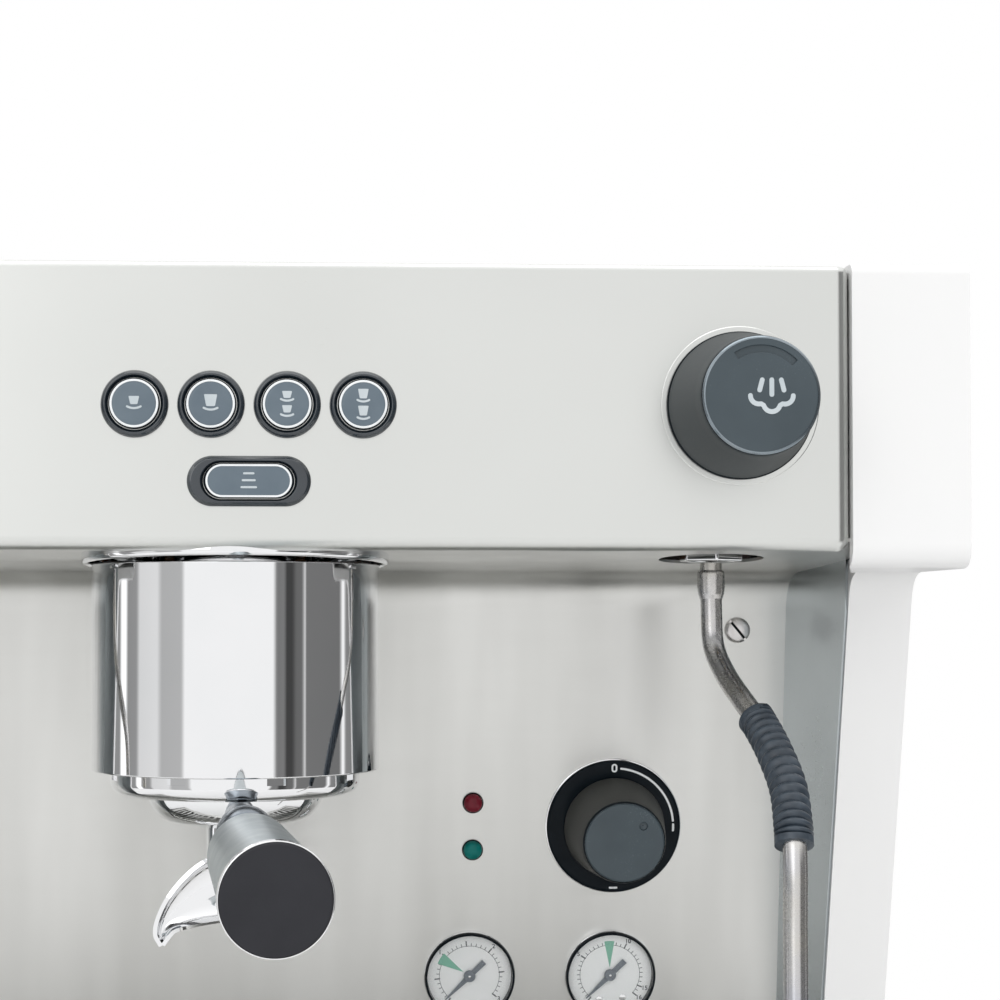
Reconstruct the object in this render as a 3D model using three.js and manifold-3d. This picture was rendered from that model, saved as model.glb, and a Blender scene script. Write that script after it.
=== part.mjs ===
// Single-group commercial espresso machine.
// Millimetres, +Z up. The origin is on the floor under the middle of the machine,
// +X is the machine's right hand side as the barista sees it, and the barista stands at -Y.
import * as THREE from 'three';
import { mergeVertices } from 'three/addons/utils/BufferGeometryUtils.js';
import Module from 'manifold-3d';

const wasm = await Module();
wasm.setup();

// ---------------------------------------------------------------- driving dimensions
const GAP = 0.3;                     // running gap between neighbouring pieces
const SHEET = 1.5;                   // stainless sheet thickness

const HALF_WIDTH = 260;              // outer face of a side panel
const TOP = 476;                     // top of the side panels
const REAR = 254;                    // rear edge of the side panels
const REAR_LIMIT = 261;              // rearmost point, the water and power fittings
const FOOT_HEIGHT = 41.7;

const HOOD_Y = -120;                 // front plane of the hood
const HOOD_HALF = 216.3;             // half width of the steel hood
const HOOD_TOP = 475;
const HOOD_BOTTOM = 372;

const SPLASH_TOP_Y = HOOD_Y + 140;   // front face of the backsplash under the hood
const SPLASH_TOP_Z = 369.6;
const SPLASH_BOTTOM_Z = 122;
const LEAN = 7.2 * Math.PI / 180;    // the backsplash leans back towards its foot
const WALL_X = 231.2;                // outer face of the backsplash's side walls

const COLUMN_INNER_X = 234;          // inner face of the white columns
const COLUMN_TOP_Y = HOOD_Y + 71;    // front of a column where it meets the hood
const COLUMN_SLOPE = Math.tan(14.3 * Math.PI / 180);

const GROUP_X = -6.5;                // axis of the brew group
const GROUP_Y = HOOD_Y + 60;
const COVER_R = 54.9;
const COVER_BOTTOM = 290.5;
const COVER_TOP = 368.5;
const RING_R = 47.75;
const RING_BOTTOM = 281.4;
const BOWL_R = 33.7;
const BOWL_BOTTOM = 271.5;
const HANDLE_TURN = 5.2 * Math.PI / 180;   // the locked handle stands slightly to the right
const HANDLE_Z = 267;
const HANDLE_START = 83.3;           // distances from the group axis
const HANDLE_END = 195.3;
const CAP_END = 200.3;

const BUTTON_Z = 423.8;
const BUTTON_PITCH = 27;
const BUTTON_R = 11.85;              // outside of a round bezel
const OVAL_Z = 396.5;
const OVAL_W = 43.75;
const OVAL_H = 17.8;

const KNOB_X = 175.9;                // steam knob, and its twin for hot water at -X
const KNOB_Z = 424.2;
const WAND_X = 179.1;
const WAND_Y = HOOD_Y + 70;

const SWITCH = [152.8, 258.8];       // x and z of the fittings on the backsplash
const LAMP_RED = [92.2, 268.9];
const LAMP_GREEN = [92.2, 248.5];
const GAUGE_Z = 193.8;
const GAUGES_X = [91.3, 152.4];
const SCREW = [205, 343];

const TRAY_FRONT = HOOD_Y - 6;
const TRAY_BACK = 44;
const TRAY_HALF = 228;
const TRAY_BOTTOM = 46.3;
const TRAY_TOP = 118;

// ---------------------------------------------------------------- materials
const finish = (color, roughness, metalness) =>
  new THREE.MeshStandardMaterial({ color, roughness, metalness });
const steel = finish(0xd4d4d0, 0.35, 1);
const chrome = finish(0xe8eaec, 0.06, 1);
const whitePaint = finish(0xf2f2f0, 0.3, 0);
const blackGloss = finish(0x14181b, 0.15, 0);
const blackMatt = finish(0x2b2d30, 0.7, 0);
const slate = finish(0x5d6b77, 0.4, 0);
const knobGrey = finish(0x4a4f50, 0.5, 0);
const rubber = finish(0x282b30, 0.75, 0);
const satin = finish(0xb4babd, 0.45, 1);
const copper = finish(0xb4713f, 0.35, 1);
const brass = finish(0xb9974f, 0.35, 1);
const redLens = finish(0x6e232d, 0.15, 0);
const greenLens = finish(0x147d6e, 0.15, 0);
const dialWhite = finish(0xe2e5e7, 0.5, 0);

// ---------------------------------------------------------------- solids and booleans
function volumeOf(points, faces) {
  const [a, b, c] = [new THREE.Vector3(), new THREE.Vector3(), new THREE.Vector3()];
  let sum = 0;
  for (let i = 0; i < faces.length; i += 3) {
    a.fromArray(points, faces[i] * 3);
    b.fromArray(points, faces[i + 1] * 3);
    c.fromArray(points, faces[i + 2] * 3);
    sum += a.dot(b.cross(c));
  }
  return sum / 6;
}

// A closed geometry as a manifold solid: shared corners, no slivers, faces out.
function solid(geometry) {
  const bare = geometry.clone();
  bare.deleteAttribute('normal');
  bare.deleteAttribute('uv');
  const merged = mergeVertices(bare, 1e-4);
  const points = new Float32Array(merged.attributes.position.array);
  const faces = [];
  for (let i = 0; i < merged.index.count; i += 3) {
    const [p, q, r] = [0, 1, 2].map((k) => merged.index.getX(i + k));
    if (p !== q && q !== r && r !== p) faces.push(p, q, r);
  }
  if (volumeOf(points, faces) < 0) faces.reverse();
  return new wasm.Manifold(new wasm.Mesh({
    numProp: 3, vertProperties: points, triVerts: new Uint32Array(faces) }));
}

function geometryOf(body) {
  const data = body.getMesh();
  const geometry = new THREE.BufferGeometry();
  geometry.setAttribute('position', new THREE.BufferAttribute(new Float32Array(data.vertProperties), 3));
  geometry.setIndex(new THREE.BufferAttribute(new Uint32Array(data.triVerts), 1));
  geometry.computeVertexNormals();
  return geometry;
}

const join = (...parts) => parts.reduce((sum, part) => sum.add(part));
const cut = (body, ...tools) => tools.reduce((rest, tool) => rest.subtract(tool), body);

// ---------------------------------------------------------------- basic shapes
function block(x0, x1, y0, y1, z0, z1) {
  const geometry = new THREE.BoxGeometry(x1 - x0, y1 - y0, z1 - z0);
  return solid(geometry.translate((x0 + x1) / 2, (y0 + y1) / 2, (z0 + z1) / 2));
}

// A turned piece about +Z from [radius, height] points.
function turned(profile, segments = 18) {
  const points = profile.map(([r, z]) => new THREE.Vector2(r, z));
  return solid(new THREE.LatheGeometry(points, segments).rotateX(Math.PI / 2));
}

// A plain cylinder about +Z.
const rod = (radius, z0, z1, segments = 16) => turned([[0, z0], [radius, z0], [radius, z1], [0, z1]], segments);

// A cylinder between two points.
function strut(radius, from, to, segments = 12) {
  const a = new THREE.Vector3(...from);
  const b = new THREE.Vector3(...to);
  const direction = b.clone().sub(a);
  const turn = new THREE.Quaternion().setFromUnitVectors(new THREE.Vector3(0, 0, 1), direction.clone().normalize());
  const geometry = new THREE.CylinderGeometry(radius, radius, direction.length(), segments);
  geometry.rotateX(Math.PI / 2).translate(0, 0, direction.length() / 2);
  return solid(geometry.applyQuaternion(turn).translate(a.x, a.y, a.z));
}

function outline(points) {
  return new THREE.Shape(points.map(([u, v]) => new THREE.Vector2(u, v)));
}

// An outline of x and y, raised from z0 to z1.
function raised(shape, z0, z1, curveSegments = 12) {
  const geometry = new THREE.ExtrudeGeometry(shape, { depth: z1 - z0, bevelEnabled: false, curveSegments });
  return solid(geometry.translate(0, 0, z0));
}

// An outline of y and z, drawn out from x0 to x1.
function across(shape, x0, x1, options = {}) {
  const settings = { depth: x1 - x0, bevelEnabled: false, curveSegments: 6, ...options };
  const geometry = new THREE.ExtrudeGeometry(shape, settings).translate(0, 0, x0);
  const basis = new THREE.Matrix4().makeBasis(
    new THREE.Vector3(0, 1, 0), new THREE.Vector3(0, 0, 1), new THREE.Vector3(1, 0, 0));
  return solid(geometry.applyMatrix4(basis));
}

// A round tube swept through points.
function swept(radius, points, steps, sides = 12) {
  const path = new THREE.CatmullRomCurve3(points.map((p) => new THREE.Vector3(...p)), false, 'centripetal');
  const section = new THREE.Shape();
  for (let i = 0; i < sides; i += 1) {
    const angle = (2 * Math.PI * i) / sides;
    const [u, v] = [radius * Math.cos(angle), radius * Math.sin(angle)];
    if (i === 0) section.moveTo(u, v);
    else section.lineTo(u, v);
  }
  return solid(new THREE.ExtrudeGeometry(section, { steps, bevelEnabled: false, extrudePath: path }));
}

function stadium(width, height) {
  const radius = height / 2;
  const reach = width / 2 - radius;
  const shape = new THREE.Shape();
  shape.absarc(reach, 0, radius, -Math.PI / 2, Math.PI / 2);
  shape.absarc(-reach, 0, radius, Math.PI / 2, 1.5 * Math.PI);
  return shape;
}

// ---------------------------------------------------------------- places
// Fittings are modelled facing +Z with +Y up, then stood up to face the barista.
const FACING = Math.PI / 2;
const splashY = (z) => SPLASH_TOP_Y + (SPLASH_TOP_Z - z) * Math.tan(LEAN);
const columnY = (z) => COLUMN_TOP_Y + (363 - z) * COLUMN_SLOPE;
const onHood = (x, z) => ({ position: [x, HOOD_Y, z], turn: FACING });
const onSplash = ([x, z]) => ({ position: [x, splashY(z), z], turn: FACING + LEAN });

function placed(body, { position, turn }) {
  const matrix = new THREE.Matrix4().makeRotationX(turn).setPosition(...position);
  return body.transform(matrix.toArray());
}

const machine = new THREE.Group();

function add(name, body, material, place) {
  const mesh = new THREE.Mesh(geometryOf(body), material);
  mesh.name = name;
  if (place) {
    mesh.position.set(...place.position);
    mesh.rotation.x = place.turn;
  }
  machine.add(mesh);
  return mesh;
}

// ---------------------------------------------------------------- chassis and panels
function baseFrame() {
  const pan = block(-229, 229, HOOD_Y + 8, 246, 42, 46);
  const plate = outline([
    [splashY(46) + 4, 44], [246, 44], [246, 468], [HOOD_Y + 8, 468],
    [HOOD_Y + 8, 377], [SPLASH_TOP_Y + 4, 377],
  ]);
  const crossBar = block(-213, 213, 230, 246, 455, 468);
  return join(pan, across(plate, 211, 214), across(plate, -214, -211), crossBar);
}

// The white side panel: a thick upper part beside the hood over a thinner raked column,
// and a foot that reaches forward beside the drip tray. It is open towards the machine.
function sidePanel() {
  const body = new THREE.Shape();
  body.moveTo(HOOD_Y, TOP);
  body.lineTo(HOOD_Y, 374);
  body.quadraticCurveTo(HOOD_Y, 366, HOOD_Y + 9, 366);
  body.lineTo(COLUMN_TOP_Y - 6, 366);
  body.quadraticCurveTo(COLUMN_TOP_Y, 366, columnY(358), 358);
  body.lineTo(columnY(165), 165);
  body.quadraticCurveTo(columnY(126), 126, columnY(126) - 40, 122);
  body.lineTo(TRAY_FRONT + 8, 118);
  body.quadraticCurveTo(TRAY_FRONT, 117, TRAY_FRONT, 108);
  body.lineTo(TRAY_FRONT, 46);
  body.lineTo(REAR, 46);
  body.lineTo(REAR, TOP);
  const full = across(body, HOOD_HALF + GAP + 3, HALF_WIDTH - 3,
    { bevelEnabled: true, bevelSize: 3, bevelThickness: 3, bevelSegments: 2, bevelOffset: -3 });
  const lowInside = block(HOOD_HALF - 5, COLUMN_INNER_X, -300, 300, 0, 365.9);
  const hollow = outline([
    [HOOD_Y + 4, TOP - 4], [HOOD_Y + 4, 370], [COLUMN_TOP_Y + 2, 370], [columnY(165) + 4, 165],
    [columnY(118) + 14, 116], [TRAY_FRONT + 4, 112], [TRAY_FRONT + 4, 50], [REAR - 4, 50], [REAR - 4, TOP - 4],
  ]);
  return cut(full, lowInside, across(hollow, HOOD_HALF - 5, HALF_WIDTH - 4));
}

const mirrored = (body) => body.mirror([1, 0, 0]);

function hoodFront() {
  const [top, low] = [2.5, 4];
  const shape = new THREE.Shape();
  shape.moveTo(HOOD_Y + 14, HOOD_BOTTOM);
  shape.lineTo(HOOD_Y + 14, HOOD_BOTTOM + SHEET);
  shape.lineTo(HOOD_Y + low, HOOD_BOTTOM + SHEET);
  shape.absarc(HOOD_Y + low, HOOD_BOTTOM + low, low - SHEET, 1.5 * Math.PI, Math.PI, true);
  shape.absarc(HOOD_Y + top, HOOD_TOP - top, top - SHEET, Math.PI, Math.PI / 2, true);
  shape.lineTo(HOOD_Y + 22, HOOD_TOP - SHEET);
  shape.lineTo(HOOD_Y + 22, HOOD_TOP);
  shape.absarc(HOOD_Y + top, HOOD_TOP - top, top, Math.PI / 2, Math.PI, false);
  shape.absarc(HOOD_Y + low, HOOD_BOTTOM + low, low, Math.PI, 1.5 * Math.PI, false);
  const holes = buttonPlaces().map((x) => placed(rod(BUTTON_R - 1.4, -5, 5), onHood(x, BUTTON_Z)));
  const ovalHole = placed(raised(stadium(OVAL_W - 2.8, OVAL_H - 2.8), -5, 5, 6), onHood(0, OVAL_Z));
  const stems = [-KNOB_X, KNOB_X].map((x) => placed(rod(6.5, -5, 5, 20), onHood(x, KNOB_Z)));
  return cut(across(shape, -HOOD_HALF, HOOD_HALF), ...holes, ovalHole, ...stems);
}

function hoodUnderside() {
  const sheet = block(-HOOD_HALF, HOOD_HALF, HOOD_Y + 14 + GAP, SPLASH_TOP_Y + 2, 370.2, 371.7);
  const groupHole = rod(COVER_R + 2.6, 360, 380, 36).translate([GROUP_X, GROUP_Y, 0]);
  const backHole = block(GROUP_X - 50, GROUP_X + 50, GROUP_Y, SPLASH_TOP_Y - 10, 360, 380);
  const wandHole = rod(20.5, 360, 380, 24).translate([WAND_X, WAND_Y, 0]);
  return cut(sheet, groupHole, backHole, wandHole, mirrored(wandHole));
}

function backsplash() {
  const back = outline([
    [SPLASH_TOP_Y, SPLASH_TOP_Z], [splashY(SPLASH_BOTTOM_Z), SPLASH_BOTTOM_Z],
    [splashY(SPLASH_BOTTOM_Z) + SHEET, SPLASH_BOTTOM_Z], [SPLASH_TOP_Y + SHEET, SPLASH_TOP_Z],
  ]);
  const side = outline([
    [columnY(362) + 3, 362], [columnY(SPLASH_BOTTOM_Z) + 3, SPLASH_BOTTOM_Z],
    [splashY(SPLASH_BOTTOM_Z) + SHEET, SPLASH_BOTTOM_Z], [SPLASH_TOP_Y + SHEET, SPLASH_TOP_Z],
    [columnY(362) + 3, SPLASH_TOP_Z],
  ]);
  const walls = [across(side, WALL_X - SHEET, WALL_X), across(side, -WALL_X, SHEET - WALL_X)];
  const hole = (radius, where) => placed(rod(radius, -6, 6, 16), onSplash(where));
  const gaugeHoles = GAUGES_X.map((x) => hole(18.5, [x, GAUGE_Z]));
  return cut(join(across(back, -WALL_X, WALL_X), ...walls),
    hole(6, SWITCH), hole(3.6, LAMP_RED), hole(3.6, LAMP_GREEN), hole(2.8, SCREW), ...gaugeHoles);
}

function cupTray() {
  const tray = block(-HOOD_HALF, HOOD_HALF, HOOD_Y + 22 + GAP, 250, 469, HOOD_TOP);
  const recess = block(-HOOD_HALF + 8, HOOD_HALF - 8, HOOD_Y + 32, 242, 471, 480);
  const slots = [];
  for (let i = 0; i < 9; i += 1) {
    const x = -160 + 40 * i;
    slots.push(block(x - 12, x + 12, 90, 96, 460, 480), block(x - 12, x + 12, 140, 146, 460, 480));
  }
  return cut(tray, recess, ...slots);
}

function cupRail() {
  const [side, front, back, height] = [212, HOOD_Y + 114, 246, 486];
  const corner = (x) => solid(new THREE.SphereGeometry(3, 8, 6)).translate([x, back, height]);
  const posts = [];
  for (const x of [-side, side]) {
    for (const y of [front, (front + back) / 2, back]) posts.push(strut(2.5, [x, y, 475.3], [x, y, height], 8));
  }
  return join(
    strut(3, [-side, front - 3, height], [-side, back, height], 8),
    strut(3, [side, front - 3, height], [side, back, height], 8),
    strut(3, [-side, back, height], [side, back, height], 8),
    corner(-side), corner(side), ...posts);
}

function rearCover() {
  const plate = join(block(-232, 232, 247, 249, 50, 364), block(-213, 213, 247, 249, 364, 468));
  const slots = [];
  for (let i = 0; i < 8; i += 1) slots.push(block(-90, 90, 240, 260, 330 + 14 * i, 335 + 14 * i));
  return cut(plate, ...slots, strut(8.5, [-150, 240, 80], [-150, 260, 80]), strut(8.5, [-100, 240, 80], [-100, 260, 80]));
}

// A cable gland or a threaded water inlet through the rear cover.
const rearFitting = (x, flangeR) => join(
  strut(8, [x, 240, 80], [x, 250, 80]),
  strut(flangeR, [x, 249 + GAP, 80], [x, 254, 80], 6),
  strut(9, [x, 253, 80], [x, REAR_LIMIT, 80]));

const foot = (x, y) => turned(
  [[0, 0], [17, 0], [19, 3], [16, 14], [12, 22], [12, FOOT_HEIGHT], [0, FOOT_HEIGHT]], 16).translate([x, y, 0]);

function dripTray() {
  const tray = block(-TRAY_HALF, TRAY_HALF, TRAY_FRONT, TRAY_BACK, TRAY_BOTTOM, TRAY_TOP);
  const inside = block(-TRAY_HALF + 3, TRAY_HALF - 3, TRAY_FRONT + 4, TRAY_BACK - 3, TRAY_BOTTOM + 3, 130);
  const ledges = [-1, 1].map((side) => block(
    side > 0 ? TRAY_HALF - 12 : -TRAY_HALF + 1, side > 0 ? TRAY_HALF - 1 : -TRAY_HALF + 12,
    TRAY_FRONT + 2, TRAY_BACK - 2, 104, 108));
  return join(cut(tray, inside), ...ledges);
}

function dripGrate() {
  const plate = block(-TRAY_HALF + 4, TRAY_HALF - 4, TRAY_FRONT + 5, TRAY_BACK - 4, 108 + GAP, 116.5);
  const hollow = block(-TRAY_HALF + 18, TRAY_HALF - 18, TRAY_FRONT + 14, TRAY_BACK - 12, 100, 114);
  const slots = [];
  for (let i = 0; i < 22; i += 1) {
    const x = -199.5 + 19 * i;
    slots.push(block(x - 6, x + 6, TRAY_FRONT + 18, TRAY_BACK - 16, 100, 130));
  }
  return cut(plate, hollow, ...slots);
}

// ---------------------------------------------------------------- brew group
const atGroup = (body) => body.translate([GROUP_X, GROUP_Y, 0]);

function groupCover() {
  const back = splashY(COVER_BOTTOM) - GROUP_Y;
  const arch = (radius, end) => {
    const shape = new THREE.Shape();
    shape.moveTo(radius, end);
    shape.lineTo(radius, 0);
    shape.absarc(0, 0, radius, 0, -Math.PI, true);
    shape.lineTo(-radius, end);
    return shape;
  };
  const shell = cut(
    raised(arch(COVER_R, back + 5), COVER_BOTTOM, COVER_TOP, 20),
    raised(arch(COVER_R - 2, back + 9), COVER_BOTTOM - 5, COVER_TOP + 5, 20));
  const behind = outline([
    [splashY(280) - GAP, 280], [splashY(380) - GAP, 380], [200, 380], [200, 280],
  ]);
  return cut(atGroup(shell), across(behind, -200, 200));
}

// The group: a heavy cylinder with the bayonet ring below it and a neck back to the boiler.
function groupBody() {
  const bell = turned([
    [0, 302], [36.6, 302], [36.6, RING_BOTTOM], [RING_R - 3, RING_BOTTOM], [RING_R, RING_BOTTOM + 3],
    [RING_R, 288], [RING_R - 6, 296], [40, 300], [40, 360], [30, 366], [30, 400], [0, 400],
  ], 22);
  return join(atGroup(bell), strut(13, [GROUP_X, GROUP_Y, 388], [GROUP_X, 96, 388]));
}

const gasket = () => atGroup(turned([[29, 297.6], [36.2, 297.6], [36.2, 301.7], [29, 301.7], [29, 297.6]], 18));
const showerScreen = () => atGroup(turned([[0, 298], [28.5, 298], [28.5, 301.5], [0, 301.5]], 18));

// ---------------------------------------------------------------- portafilter
// Modelled about the group axis with the handle along -Y, then turned to its locked place.
const locked = (body) => atGroup(body.rotate([0, 0, HANDLE_TURN * 180 / Math.PI]));

function portafilterBody() {
  const bowl = turned([
    [0, BOWL_BOTTOM], [22, BOWL_BOTTOM], [BOWL_R - 3, BOWL_BOTTOM + 3], [BOWL_R, BOWL_BOTTOM + 8],
    [BOWL_R, 297.2], [31.3, 297.2], [31.3, BOWL_BOTTOM + 4], [0, BOWL_BOTTOM + 4],
  ], 22);
  const lug = (side) => block(side * 33.4 - 1.6, side * 33.4 + 1.6, -8, 8, 289, 295);
  const neck = strut(6.5, [0, -BOWL_R + 2, 274], [0, -HANDLE_START + 8, 268]);
  const collar = strut(10.5, [0, -HANDLE_START + 9, HANDLE_Z], [0, -HANDLE_START + GAP, HANDLE_Z]);
  const drain = rod(3, BOWL_BOTTOM - 5, BOWL_BOTTOM + 9, 16);
  return locked(cut(join(bowl, lug(1), lug(-1), neck, collar), drain));
}

const basket = () => locked(turned([
  [0, 277], [26, 277], [30.4, 280], [30.9, 297.5 - GAP], [29.9, 297.5 - GAP], [29.4, 280.6], [25.6, 278.2], [0, 278.2],
], 18));

function spout() {
  const boss = rod(11, 256, BOWL_BOTTOM - GAP, 28);
  const horn = (side) => swept(6, [
    [0, 0, 262], [side * 12, 0, 260], [side * 21, 0, 251], [side * 26, 0, 238], [side * 27.4, 0, 224.7],
  ], 10, 8);
  return locked(join(boss, horn(1), horn(-1)));
}

function handle() {
  const length = HANDLE_END - HANDLE_START;
  const grip = turned([
    [0, 0], [11, 0], [14.4, 3], [14.9, 8], [15.6, length * 0.5], [16.4, length - 3], [16.4, length], [0, length],
  ], 18);
  return locked(grip.rotate([90, 0, 0]).translate([0, -HANDLE_START, HANDLE_Z]));
}

function handleCap() {
  const depth = CAP_END - HANDLE_END;
  const cap = turned([[0, GAP], [16.4, GAP], [16.8, 1.5], [16.8, depth - 1], [15.8, depth], [0, depth]], 18);
  return locked(cap.rotate([90, 0, 0]).translate([0, -HANDLE_END, HANDLE_Z]));
}

// ---------------------------------------------------------------- buttons and knobs
function buttonPlaces() {
  return [-1.5, -0.5, 0.5, 1.5].map((step) => step * BUTTON_PITCH);
}

const roundBezel = () => turned([
  [9.6, -6], [BUTTON_R - 1.8, -6], [BUTTON_R - 1.8, GAP], [BUTTON_R, GAP], [BUTTON_R, 1.6],
  [BUTTON_R - 1, 2.6], [9.6, 2.6], [9.6, -6],
], 18);
const roundCap = () => turned([[0, -5], [9.2, -5], [9.2, 2.4], [8.6, 3], [0, 3]], 18);

function ovalBezel() {
  const flange = raised(stadium(OVAL_W, OVAL_H), GAP, 2.6, 8);
  const body = raised(stadium(OVAL_W - 3.6, OVAL_H - 3.6), -6, 1, 8);
  return cut(join(flange, body), raised(stadium(33.6, 13.2), -10, 10, 8));
}
const ovalCap = () => raised(stadium(32.8, 12.4), -5, 3, 8);

// The valve knob: a wide foot that narrows to a flat round face.
const valveKnob = () => turned([
  [0, 0.6], [26.2, 0.6], [26.7, 2], [26.2, 8], [22.6, 17], [20.8, 25], [20.2, 33.4], [19, 35.6], [0, 35.6],
], 22);

function valve(side) {
  const x = side * KNOB_X;
  const stem = strut(5, [x, HOOD_Y - 0.1, KNOB_Z], [x, -60, KNOB_Z]);
  const body = block(x - 14, x + 14, -85, -35, KNOB_Z - 15, KNOB_Z + 14);
  const outlet = strut(8, [side * WAND_X, WAND_Y, 389.4], [side * WAND_X, WAND_Y, KNOB_Z - 10]);
  return join(stem, body, outlet);
}

function hexNut(side, bore) {
  const hex = new THREE.CylinderGeometry(13, 13, 14, 6).rotateX(Math.PI / 2).rotateZ(Math.PI / 6);
  const nut = cut(solid(hex.translate(0, 0, 377)), rod(bore, 360, 400, 28));
  return nut.translate([side * WAND_X, WAND_Y, 0]);
}

// ---------------------------------------------------------------- steam wand and hot water spout
const WAND_PATH = [
  [WAND_X, WAND_Y, 369.6], [WAND_X, WAND_Y - 0.5, 352], [179.5, HOOD_Y + 67, 337], [182, HOOD_Y + 56, 326],
  [185.4, HOOD_Y + 42, 317], [189, HOOD_Y + 30, 309], [190.9, HOOD_Y + 15, 300], [191.2, HOOD_Y - 6, 288],
  [189.2, HOOD_Y - 22, 276], [188.2, HOOD_Y - 29, 264], [187.4, HOOD_Y - 32, 240], [185.6, HOOD_Y - 40, 185],
  [184.6, HOOD_Y - 44, 156],
];
const GRIP_TOP = [188.3, HOOD_Y + 32.4, 310.6];
const GRIP_END = [188.6, HOOD_Y - 26, 269.2];
const GRIP_PATH = [GRIP_TOP, ...WAND_PATH.slice(5, 9), GRIP_END];

const wandBall = () => solid(new THREE.SphereGeometry(8.6, 16, 10)).translate([WAND_X, WAND_Y, 378.5]);
const wandTube = () => join(
  swept(4.25, WAND_PATH, 30, 8),
  rod(5.4, 358.5, 366.5, 20).translate([WAND_X, WAND_Y, 0]));

function wandGrip() {
  const sleeve = swept(7, GRIP_PATH, 14, 10);
  const bore = swept(4.75, WAND_PATH.slice(3, 11), 20, 8);
  return cut(sleeve, bore);
}

function wandNozzle() {
  const [x, y, z] = WAND_PATH[WAND_PATH.length - 1];
  const lean = Math.atan2(4, 29) * 180 / Math.PI;
  return turned([[0, -12], [3, -12], [5.4, -6], [5.4, -GAP], [0, -GAP]], 18).rotate([-lean, 0, 0]).translate([x, y, z]);
}

const waterSpout = () => swept(5, [
  [-WAND_X, WAND_Y, 369.6], [-WAND_X, WAND_Y, 350], [-WAND_X, WAND_Y - 5, 332], [-WAND_X + 3, WAND_Y - 24, 315],
  [-WAND_X + 6, WAND_Y - 42, 300], [-WAND_X + 7, WAND_Y - 48, 282], [-WAND_X + 7, WAND_Y - 48, 262],
], 20, 8);

// ---------------------------------------------------------------- backsplash fittings
const switchPlate = () => cut(
  turned([[0, GAP], [29.1, GAP], [29.1, 2.4], [28, 3.4], [0, 3.4]], 22), rod(5.2, -5, 10, 20));
const switchKnob = () => join(
  turned([[0, 3.8], [21.2, 3.8], [21.7, 5], [21.2, 9], [18.2, 14], [17.6, 30], [17, 33.5], [0, 33.5]], 18),
  rod(4.8, -8, 5, 16));
const lamp = () => turned([
  [0, -10], [3.3, -10], [3.3, GAP], [4.55, GAP], [4.55, 1.6], [3.4, 3], [1.8, 3.7], [0, 3.9],
], 16);

const gaugeCase = () => turned([
  [0, -22], [18, -22], [18, GAP], [19.7, GAP], [19.7, 4.6], [19.2, 5.6], [18.6, 5.6], [18.3, 4.8], [18.3, 1], [0, 1],
], 18);

// A needle that rests at the start of its scale, low on the left.
function needle() {
  const blade = outline([[-1.2, 0], [1.2, 0], [0.25, 15], [-0.25, 15]]);
  const tail = outline([[-1.3, -9], [1.3, -9], [1, 0], [-1, 0]]);
  return join(raised(blade, 1.8, 2.6), raised(tail, 1.8, 2.6), rod(2.6, 1.5, 3, 20)).rotate([0, 0, 135]);
}

const screw = () => cut(
  turned([[0, -4], [2.4, -4], [2.4, GAP], [5.5, GAP], [5.5, 1.4], [4.2, 2.8], [0, 3]], 16),
  block(-7, 7, -0.6, 0.6, 1.6, 6).rotate([0, 0, -50]));

// ---------------------------------------------------------------- inside the body
const [BOILER_Y, BOILER_Z, BOILER_R] = [150, 322, 72];

function boiler() {
  const shell = turned([
    [22, -130], [BOILER_R - 8, -130], [BOILER_R, -120], [BOILER_R, 110], [BOILER_R - 8, 120], [0, 120],
    [0, 117], [BOILER_R - 10, 117], [BOILER_R - 3, 109], [BOILER_R - 3, -118], [BOILER_R - 10, -127], [22, -127],
    [22, -130],
  ], 18);
  return shell.rotate([0, 90, 0]).translate([0, BOILER_Y, BOILER_Z]);
}

const heater = () => join(rod(30, -138, -130 - GAP, 32), rod(5, -131, 80, 16).translate([10, 0, 0]),
  rod(5, -131, 80, 16).translate([-10, 0, 0])).rotate([0, 90, 0]).translate([0, BOILER_Y, BOILER_Z]);
const motor = () => strut(42, [40, 160, 95], [150, 160, 95], 18);
const pump = () => join(strut(24, [150 + GAP, 160, 95], [190, 160, 95], 22), strut(7, [172, 160, 95], [172, 160, 140], 16));
const solenoid = () => join(block(-26, 14, 60, 86, 180, 206), strut(10, [-6, 73, 205], [-6, 73, 238], 12));

// ---------------------------------------------------------------- the machine
add('base_frame', baseFrame(), steel);
add('side_panel_right', sidePanel(), whitePaint);
add('side_panel_left', mirrored(sidePanel()), whitePaint);
add('hood_front_panel', hoodFront(), steel);
add('hood_underside', hoodUnderside(), steel);
add('backsplash', backsplash(), steel);
add('cup_tray', cupTray(), steel);
add('cup_rail', cupRail(), chrome);
add('rear_cover', rearCover(), steel);
add('power_gland', rearFitting(-150, 14), blackMatt);
add('water_inlet', rearFitting(-100, 13), brass);
add('drip_tray', dripTray(), steel);
add('drip_grate', dripGrate(), steel);
[[-190, -80], [190, -80], [-190, 215], [190, 215]].forEach(([x, y], i) => add(`foot_${i + 1}`, foot(x, y), rubber));

add('group_cover', groupCover(), chrome);
add('group_body', groupBody(), chrome);
add('group_gasket', gasket(), rubber);
add('shower_screen', showerScreen(), steel);
add('portafilter_body', portafilterBody(), chrome);
add('filter_basket', basket(), steel);
add('portafilter_spout', spout(), chrome);
add('portafilter_handle', handle(), satin);
add('handle_cap', handleCap(), blackMatt);

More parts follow.
